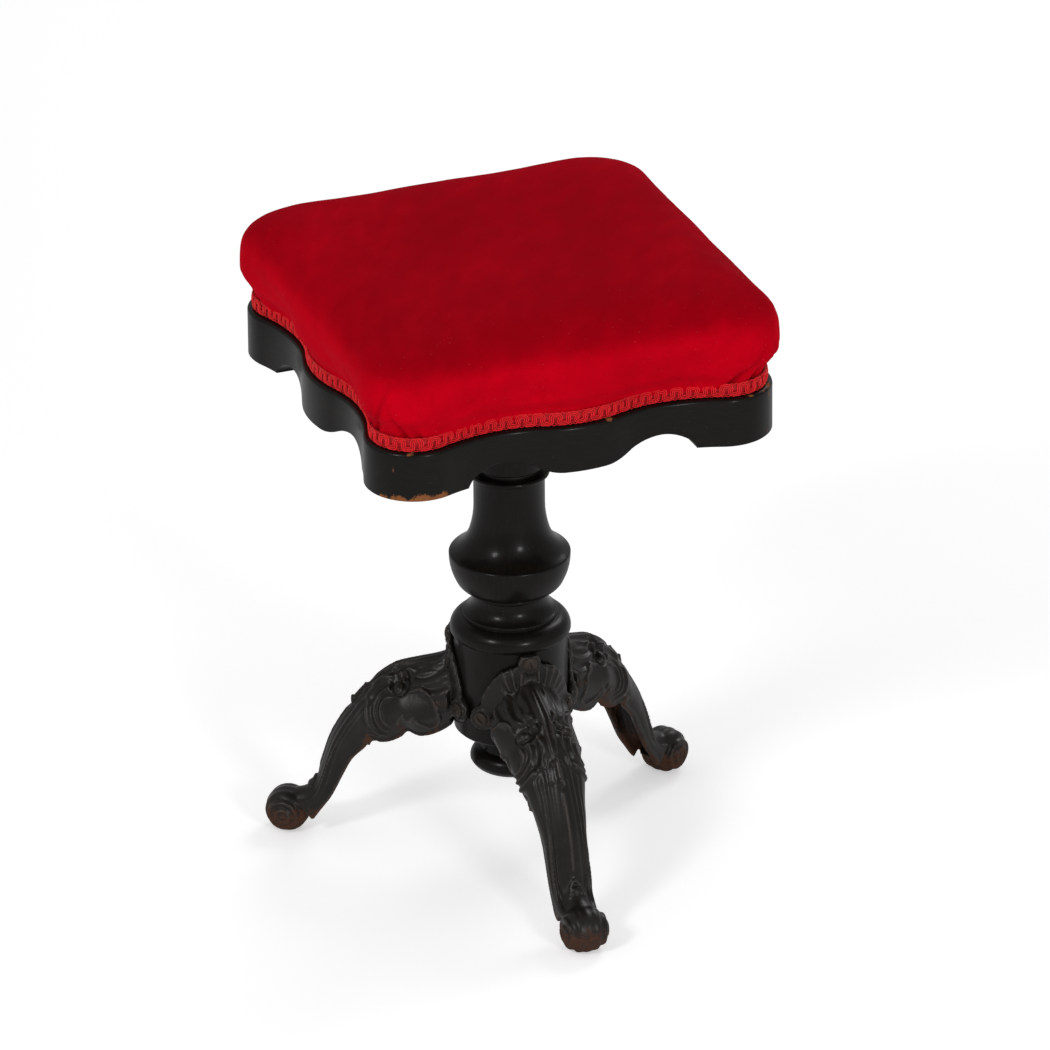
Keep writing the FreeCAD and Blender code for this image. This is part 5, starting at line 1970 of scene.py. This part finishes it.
    def disc(self, turn: float, level: float, radius: float) -> bpy.types.Object:
        """A round boss on the shield, for a screw."""
        steps = 40
        angles = round_angles(steps)
        rows = []
        profile = (
            (self.saddle_inner, radius),
            (self.head_seat - 0.6, radius),
            (self.head_seat, radius - 0.8),
        )
        for reach, size in profile:
            upright = level + size * np.sin(angles)
            rows.append(np.column_stack([np.full(steps, reach), size * np.cos(angles), upright]))
        faces = grid_faces(len(rows), steps, False, True) + cap_faces(len(rows), steps)
        return new_piece("boss", turn_about_axis(np.vstack(rows), turn) * MM, faces)

    def roll(self) -> bpy.types.Object:
        """The rolled foot with its flutes, flat underneath."""
        shares = np.linspace(-1, 1, 61)
        plump = np.maximum(1 - np.abs(shares) ** 2.6, 0) ** 0.5
        ribs = np.abs(np.sin(math.pi * self.flutes * (shares + 1) / 2)) - 0.6
        radii = self.ball * plump + 1.3 * ribs * (plump > 0.3) * plump
        steps = 72
        angles = round_angles(steps)
        middle = (self.reach, self.ball_rise)
        rows = []
        for share, radius in zip(shares, np.maximum(radii, 0.4)):
            rows.append(lying_ring(radius, angles, share * self.ball_half, middle))
        points = np.vstack(rows)
        points[:, 2] = np.maximum(points[:, 2], 0.0)
        faces = grid_faces(len(rows), steps, False, True) + cap_faces(len(rows), steps)
        return new_piece("roll", points * MM, faces)

    def casting(self) -> bpy.types.Object:
        """One hollow leg before it is carved."""
        parts = [self.trunk("leg_casting", 0.0, 0.0, 0.0), self.plate(), self.roll()]
        sizes = (self.boss_radius, self.ear_radius, self.ear_radius)
        for (turn, level), size in zip(screw_places(self.boss_level, self.ear_level), sizes):
            parts.append(self.disc(turn, level, size))
        whole = join(parts)
        self.remesh(whole, self.coarse)
        hollow = self.trunk("hollow", self.wall, self.hollow_drop, self.hollow_start)
        heel = self.heel()
        for cutter in (hollow, heel):
            cut = whole.modifiers.new("hollow", "BOOLEAN")
            cut.operation = "DIFFERENCE"
            cut.solver = "MANIFOLD"
            cut.object = cutter
        settle(whole)
        for cutter in (hollow, heel):
            bpy.data.objects.remove(cutter)
        self.remesh(whole, self.fine)
        ease = whole.modifiers.new("ease", "SMOOTH")
        ease.factor = 0.5
        ease.iterations = 3
        return settle(whole)

    def heel(self) -> bpy.types.Object:
        """The space inside the rolled foot."""
        steps = 40
        angles = round_angles(steps)
        radius, half = self.ball - self.wall - 1.5, self.ball_half - self.wall - 3.0
        middle = (self.reach - 1.0, self.ball_rise)
        rows = [lying_ring(radius, angles, side, middle) for side in (-half, half)]
        faces = grid_faces(2, steps, False, True) + cap_faces(2, steps)
        return new_piece("heel", np.vstack(rows) * MM, faces)

    @staticmethod
    def remesh(piece: bpy.types.Object, voxel: float) -> None:
        """Makes a piece one even skin."""
        modifier = piece.modifiers.new("even", "REMESH")
        modifier.mode = "VOXEL"
        modifier.voxel_size = voxel
        settle(piece)

    @staticmethod
    def ridge(where: np.ndarray, points: Line | np.ndarray, half: float, height: float) -> np.ndarray:
        """Height of a rounded ridge along a line.

        Args:
            where: places in the carving's plane, in millimetres.
            points: the line, as given points.
            half: half width of the ridge.
            height: its height, or a groove's depth below nought.

        Returns:
            The height at each place.
        """
        line = smooth_line(points, 40)
        gap, gone = nearest_on(where, line)
        total = float(np.linalg.norm(np.diff(line, axis=0), axis=1).sum())
        ends = smooth_step(gone, -0.01, total * 0.12) * smooth_step(gone, total * 1.01, total * 0.85)
        thin = half * (0.45 + 0.55 * ends)
        return height * (0.35 + 0.65 * ends) * (0.5 + 0.5 * np.cos(math.pi * np.clip(gap / thin, 0, 1)))

    @staticmethod
    def bead(where: np.ndarray, middle: tuple[float, float], radius: float, height: float) -> np.ndarray:
        """Height of a round bead, or a bowl where the height is below nought."""
        gap = np.linalg.norm(where - np.array(middle), axis=1) / radius
        return height * np.sqrt(np.clip(1 - gap**2, 0, 1))

    def relief(self, where: np.ndarray, carving: tuple[Stroke | Bead, ...]) -> np.ndarray:
        """Height of several strokes and beads together.

        Args:
            where: places in the carving's plane, in millimetres.
            carving: the strokes and beads.

        Returns:
            The height at each place.
        """
        total = np.zeros(len(where))
        for form in carving:
            if isinstance(form, Stroke):
                total += self.ridge(where, form.line, form.half, form.height)
            else:
                total += self.bead(where, form.middle, form.radius, form.height)
        return total

    def flank(self, where: np.ndarray) -> np.ndarray:
        """Carving of a side, seen from the side.

        Args:
            where: distance from the axis and height of each point.

        Returns:
            Its height over the smooth side.
        """
        total = np.zeros(len(where))
        angles = np.radians(np.linspace(78, -70, 9))
        for radius, half, height in SCROLL_RINGS:
            arc = SCROLL_MIDDLE + radius * np.column_stack([np.cos(angles), np.sin(angles) * 0.98])
            total += self.ridge(where, arc, half, height)
        total += self.relief(where, FLANK_CARVING)
        lower = smooth_line(self.under, 80)
        gap, _ = nearest_on(where, lower)
        total += 1.5 * (0.5 + 0.5 * np.cos(math.pi * np.clip((gap - 2.2) / 2.6, -1, 1)))
        return total

    def rim(self, where: np.ndarray) -> np.ndarray:
        """Height of the two rims that follow the crown down each side."""
        gap, gone = nearest_on(where, smooth_line(self.crown, 80))
        shown = smooth_step(gone, 6.0, 20.0) * smooth_step(gone, 205.0, 192.0)
        total = 1.7 * (0.5 + 0.5 * np.cos(math.pi * np.clip((gap - 6.0) / 2.6, -1, 1)))
        total -= 0.9 * (0.5 + 0.5 * np.cos(math.pi * np.clip((gap - 9.6) / 1.8, -1, 1)))
        return shown * total

    def front(self, points: np.ndarray) -> np.ndarray:
        """Carving of the crown and of the shield's face.

        Args:
            points: places in millimetres.

        Returns:
            Height of the carving over the smooth face.
        """
        total = np.zeros(len(points))
        _, gone = nearest_on(points[:, [0, 2]], smooth_line(self.crown, 80))
        across = points[:, 1]
        face = np.column_stack([np.abs(across), points[:, 2]])
        wing = smooth_step(points[:, 0], 84.0, 66.0)
        foot = np.array(SHELL_FOOT)
        for tip in SHELL_TIPS:
            end = np.array(tip)
            bend = (foot + end) / 2 + (2.0, -5.0)
            total += wing * self.ridge(face, np.array([foot, bend, end]), 2.7, 2.3)
        along = np.column_stack([gone, np.abs(across)])
        return total + self.relief(along, CROWN_CARVING)

    def volute(self, where: np.ndarray) -> np.ndarray:
        """Rings on the sides of the rolled foot."""
        gap = np.linalg.norm(where - np.array([self.reach + 1.5, self.ball_rise - 1.0]), axis=1)
        rings = 0.9 * np.cos(2 * math.pi * gap / 6.2)
        return rings * smooth_step(gap, 19.0, 15.0)

    def carving(self, points: np.ndarray, normals: np.ndarray, outer: np.ndarray) -> np.ndarray:
        """All the carving, with the room for the screws left plain.

        Args:
            points: places in millimetres.
            normals: their directions.
            outer: how far each looks out of its side, below nought on the hollow's walls.

        Returns:
            Height of the carving over the smooth casting.
        """
        where = points[:, [0, 2]]
        side = smooth_step(outer, 0.28, 0.60)
        off_column = smooth_step(points[:, 0], 44.0, 53.0)
        not_foot = smooth_step(points[:, 0] - points[:, 2] * 0.4, 172.0, 160.0)
        height = side * off_column * not_foot * self.flank(where)
        height += smooth_step(outer, 0.15, 0.5) * self.rim(where) * not_foot
        upward = smooth_step(normals[:, 2] + normals[:, 0] * 0.8, 0.15, 0.6)
        middle = smooth_step(np.abs(points[:, 1]), 12.0, 8.5)
        shield = smooth_step(points[:, 0], 66.0, 56.0)
        height += upward * np.maximum(middle, shield) * (1 - side * 0.85) * self.front(points)
        from_roll = np.hypot(points[:, 0] - self.reach, points[:, 2] - self.ball_rise)
        height += smooth_step(from_roll, 21.0, 18.0) * side * self.volute(where)
        near_screw = np.zeros(len(points), bool)
        for turn, level in screw_places(self.boss_level, self.ear_level):
            angle = math.radians(turn)
            way = np.array([math.cos(angle), math.sin(angle)])
            aside = points[:, 0] * -way[1] + points[:, 1] * way[0]
            ahead = points[:, :2] @ way
            radial = np.hypot(aside, points[:, 2] - level)
            near_screw |= (radial < self.flat_round_screw) & (ahead > 40.0)
            ring = (np.abs(radial - self.ring_radius) < self.ring_half) & (ahead > 50.0)
            ring &= points[:, 0] < 70.0
            height = np.where(ring, 1.0, height)
        return np.where(near_screw, 0.0, height)

    def kept_clear(self, points: np.ndarray) -> np.ndarray:
        """Points kept off the column, under its collar and above the floor.

        Args:
            points: places in millimetres.

        Returns:
            The places, moved where that is needed.
        """
        kept = points.copy()
        reach = np.hypot(points[:, 0], points[:, 1])
        wanted = np.maximum(reach, self.saddle_inner + 0.02)
        too_high = (points[:, 2] > self.under_collar) & (points[:, 0] < 60.0)
        kept[:, :2] *= (wanted / np.maximum(reach, 1e-6))[:, None]
        kept[:, 2] = np.where(too_high, self.under_collar, kept[:, 2])
        kept[:, 2] = np.maximum(kept[:, 2], 0.0)
        return kept

    def rusting(
        self, points: np.ndarray, normals: np.ndarray, outer: np.ndarray, height: np.ndarray
    ) -> np.ndarray:
        """How rusty the casting is: inside, at the foot and at the ears.

        Args:
            points: places in millimetres.
            normals: their directions.
            outer: how far each looks out of its side.
            height: height of the carving.

        Returns:
            A share for each point, from 0 to 1.
        """
        inside = smooth_step(-outer, 0.1, 0.5) * smooth_step(points[:, 0], 56.0, 62.0)
        below = smooth_step(-normals[:, 2] - normals[:, 0] * 0.6, 0.3, 0.7) * (points[:, 0] > 58)
        inside = np.maximum(inside, below)
        heel = smooth_step(points[:, 2], 44.0, 16.0) * smooth_step(points[:, 0], 150.0, 165.0)
        to_ear = np.hypot(np.abs(points[:, 1]) - 38.5, points[:, 2] - self.ear_level)
        ears = smooth_step(to_ear, 12.0, 4.0)
        return np.clip(0.75 * inside + 0.7 * heel + 0.6 * ears + 0.10 * np.clip(height, 0, 2), 0, 1)

    def carve(self, piece: bpy.types.Object) -> None:
        """Raises the carving on a casting that lies along +X, and marks its rust."""
        mesh = piece.data
        points, normals = points_of(mesh) / MM, normals_of(mesh)
        outer = normals[:, 1] * np.sign(points[:, 1])
        height = self.carving(points, normals, outer)
        place_points(mesh, self.kept_clear(points + normals * height[:, None]) * MM)
        paint(mesh, "rust", self.rusting(points, normals, outer, height))

    def build(self, finishes: Finishes) -> None:
        """Makes, dresses and hands over the three legs."""
        pattern = self.casting()
        self.carve(pattern)
        mark_edges(pattern, 5.0)
        pattern.data.shade_smooth()
        points = points_of(pattern.data)
        for number, azimuth in enumerate(self.azimuths, 1):
            piece = linked(f"carved_leg_{number}", pattern.data.copy())
            place_points(piece.data, turn_about_axis(points, azimuth))
            dress(piece, finishes.iron)
            hand_over(piece, Body.BASE, f"leg_{number}")
        bpy.data.objects.remove(pattern)


def join(parts: list[bpy.types.Object]) -> bpy.types.Object:
    """Joins pieces into the first one.

    Args:
        parts: the pieces.

    Returns:
        The first piece, with the others in it.
    """
    whole = bmesh.new()
    for part in parts:
        whole.from_mesh(part.data)
    whole.to_mesh(parts[0].data)
    whole.free()
    for part in parts[1:]:
        bpy.data.objects.remove(part)
    return parts[0]


@dataclass
class Studio:
    """The white studio, its lamps and the camera."""

    frame_side: float = 1050.0
    focal_pixels: float = 10612.0
    sensor: float = 36.0
    azimuth: float = 12.2
    elevation: float = 25.86
    roll: float = -0.4765
    distance: float = 9.0
    aim: tuple[float, float, float] = (0.0, 0.0, 0.3069)
    aside: float = 0.0132
    lit: tuple[float, float, float] = (0.0, 0.0, 0.35)
    floor_half: float = 12.0
    lamps: tuple[tuple, ...] = (
        ("key", (-1.5, -2.9, 2.6), 0.7, 36.0),
        ("fill", (2.2, -2.6, 1.5), 0.6, 26.0),
        ("back", (0.9, 2.6, 2.4), 1.2, 20.0),
    )

    def floor(self) -> None:
        """The white floor, which keeps the stool's shadow."""
        material, wire, shader = new_material("studio_floor")
        seen = wire.add("ShaderNodeLightPath").outputs["Is Camera Ray"]
        looks = {
            "Base Color": (0.93, 0.93, 0.93, 1),
            "Roughness": 0.9,
            "Specular IOR Level": 0.1,
            "Emission Color": (1, 1, 1, 1),
            "Emission Strength": wire.math("MULTIPLY", seen, 0.42),
        }
        wire.feed(shader, looks)
        corners = ((-1, -1, 0), (1, -1, 0), (1, 1, 0), (-1, 1, 0))
        points = self.floor_half * np.array(corners, float)
        floor = new_piece("studio_floor", points, [(0, 1, 2, 3)], False)
        floor.data.materials.append(material)

    def world(self) -> None:
        """Plain light from all round, white where it is seen."""
        world = bpy.data.worlds.new("studio")
        bpy.context.scene.world = world
        world.use_nodes = True
        wire = Wiring(world.node_tree)
        wire.tree.nodes.clear()
        light = wire.add("ShaderNodeLightPath")
        strength = wire.between(light.outputs["Is Camera Ray"], 0.40, 1.0)
        shade = wire.add("ShaderNodeBackground", {"Color": (1, 1, 1, 1), "Strength": strength})
        wire.add("ShaderNodeOutputWorld", {0: shade.outputs[0]})

    def lamp(self, name: str, place: tuple[float, float, float], size: float, power: float) -> None:
        """A soft square lamp that looks at the stool's middle.

        Args:
            name: the lamp's name.
            place: where it hangs.
            size: its side in metres.
            power: its power in watts.
        """
        data = bpy.data.lights.new(name, "AREA")
        data.shape = "SQUARE"
        data.size = size
        data.energy = power
        lamp = linked(name, data)
        lamp.location = place
        lamp.rotation_euler = (Vector(self.lit) - Vector(place)).to_track_quat("-Z", "Y").to_euler()

    def camera(self) -> None:
        """The camera where the photograph was taken from."""
        turn, rise, roll = (math.radians(a) for a in (self.azimuth, self.elevation, self.roll))
        right = Vector((math.cos(turn), math.sin(turn), 0))
        back = Vector((math.sin(turn) * math.cos(rise), -math.cos(turn) * math.cos(rise), math.sin(rise)))
        up = back.cross(right)
        across = math.cos(roll) * right + math.sin(roll) * up
        upward = -math.sin(roll) * right + math.cos(roll) * up
        data = bpy.data.cameras.new("camera")
        data.sensor_width = self.sensor
        data.lens = self.focal_pixels / self.frame_side * self.sensor
        data.clip_end = 60.0
        camera = linked("camera", data)
        place = Vector(self.aim) + right * self.aside + back * self.distance
        matrix = Matrix((across, upward, back)).transposed().to_4x4()
        matrix.translation = place
        camera.matrix_world = matrix
        bpy.context.scene.camera = camera

    def build(self) -> None:
        """Sets up the studio."""
        self.floor()
        self.world()
        for name, place, size, power in self.lamps:
            self.lamp(name, place, size, power)
        self.camera()
        bpy.context.scene.view_settings.view_transform = "Standard"


def main() -> None:
    """Builds the stool and its studio."""
    logging.basicConfig(level=logging.INFO, format="%(message)s")
    Studio().build()
    finishes = Finishes()
    for maker in (TurnedWork, ThreadedSpindle, CarvedLegs, Screws, SeatFrame, Cushion, GimpBraid):
        maker().build(finishes)


if __name__ == "__main__":
    main()
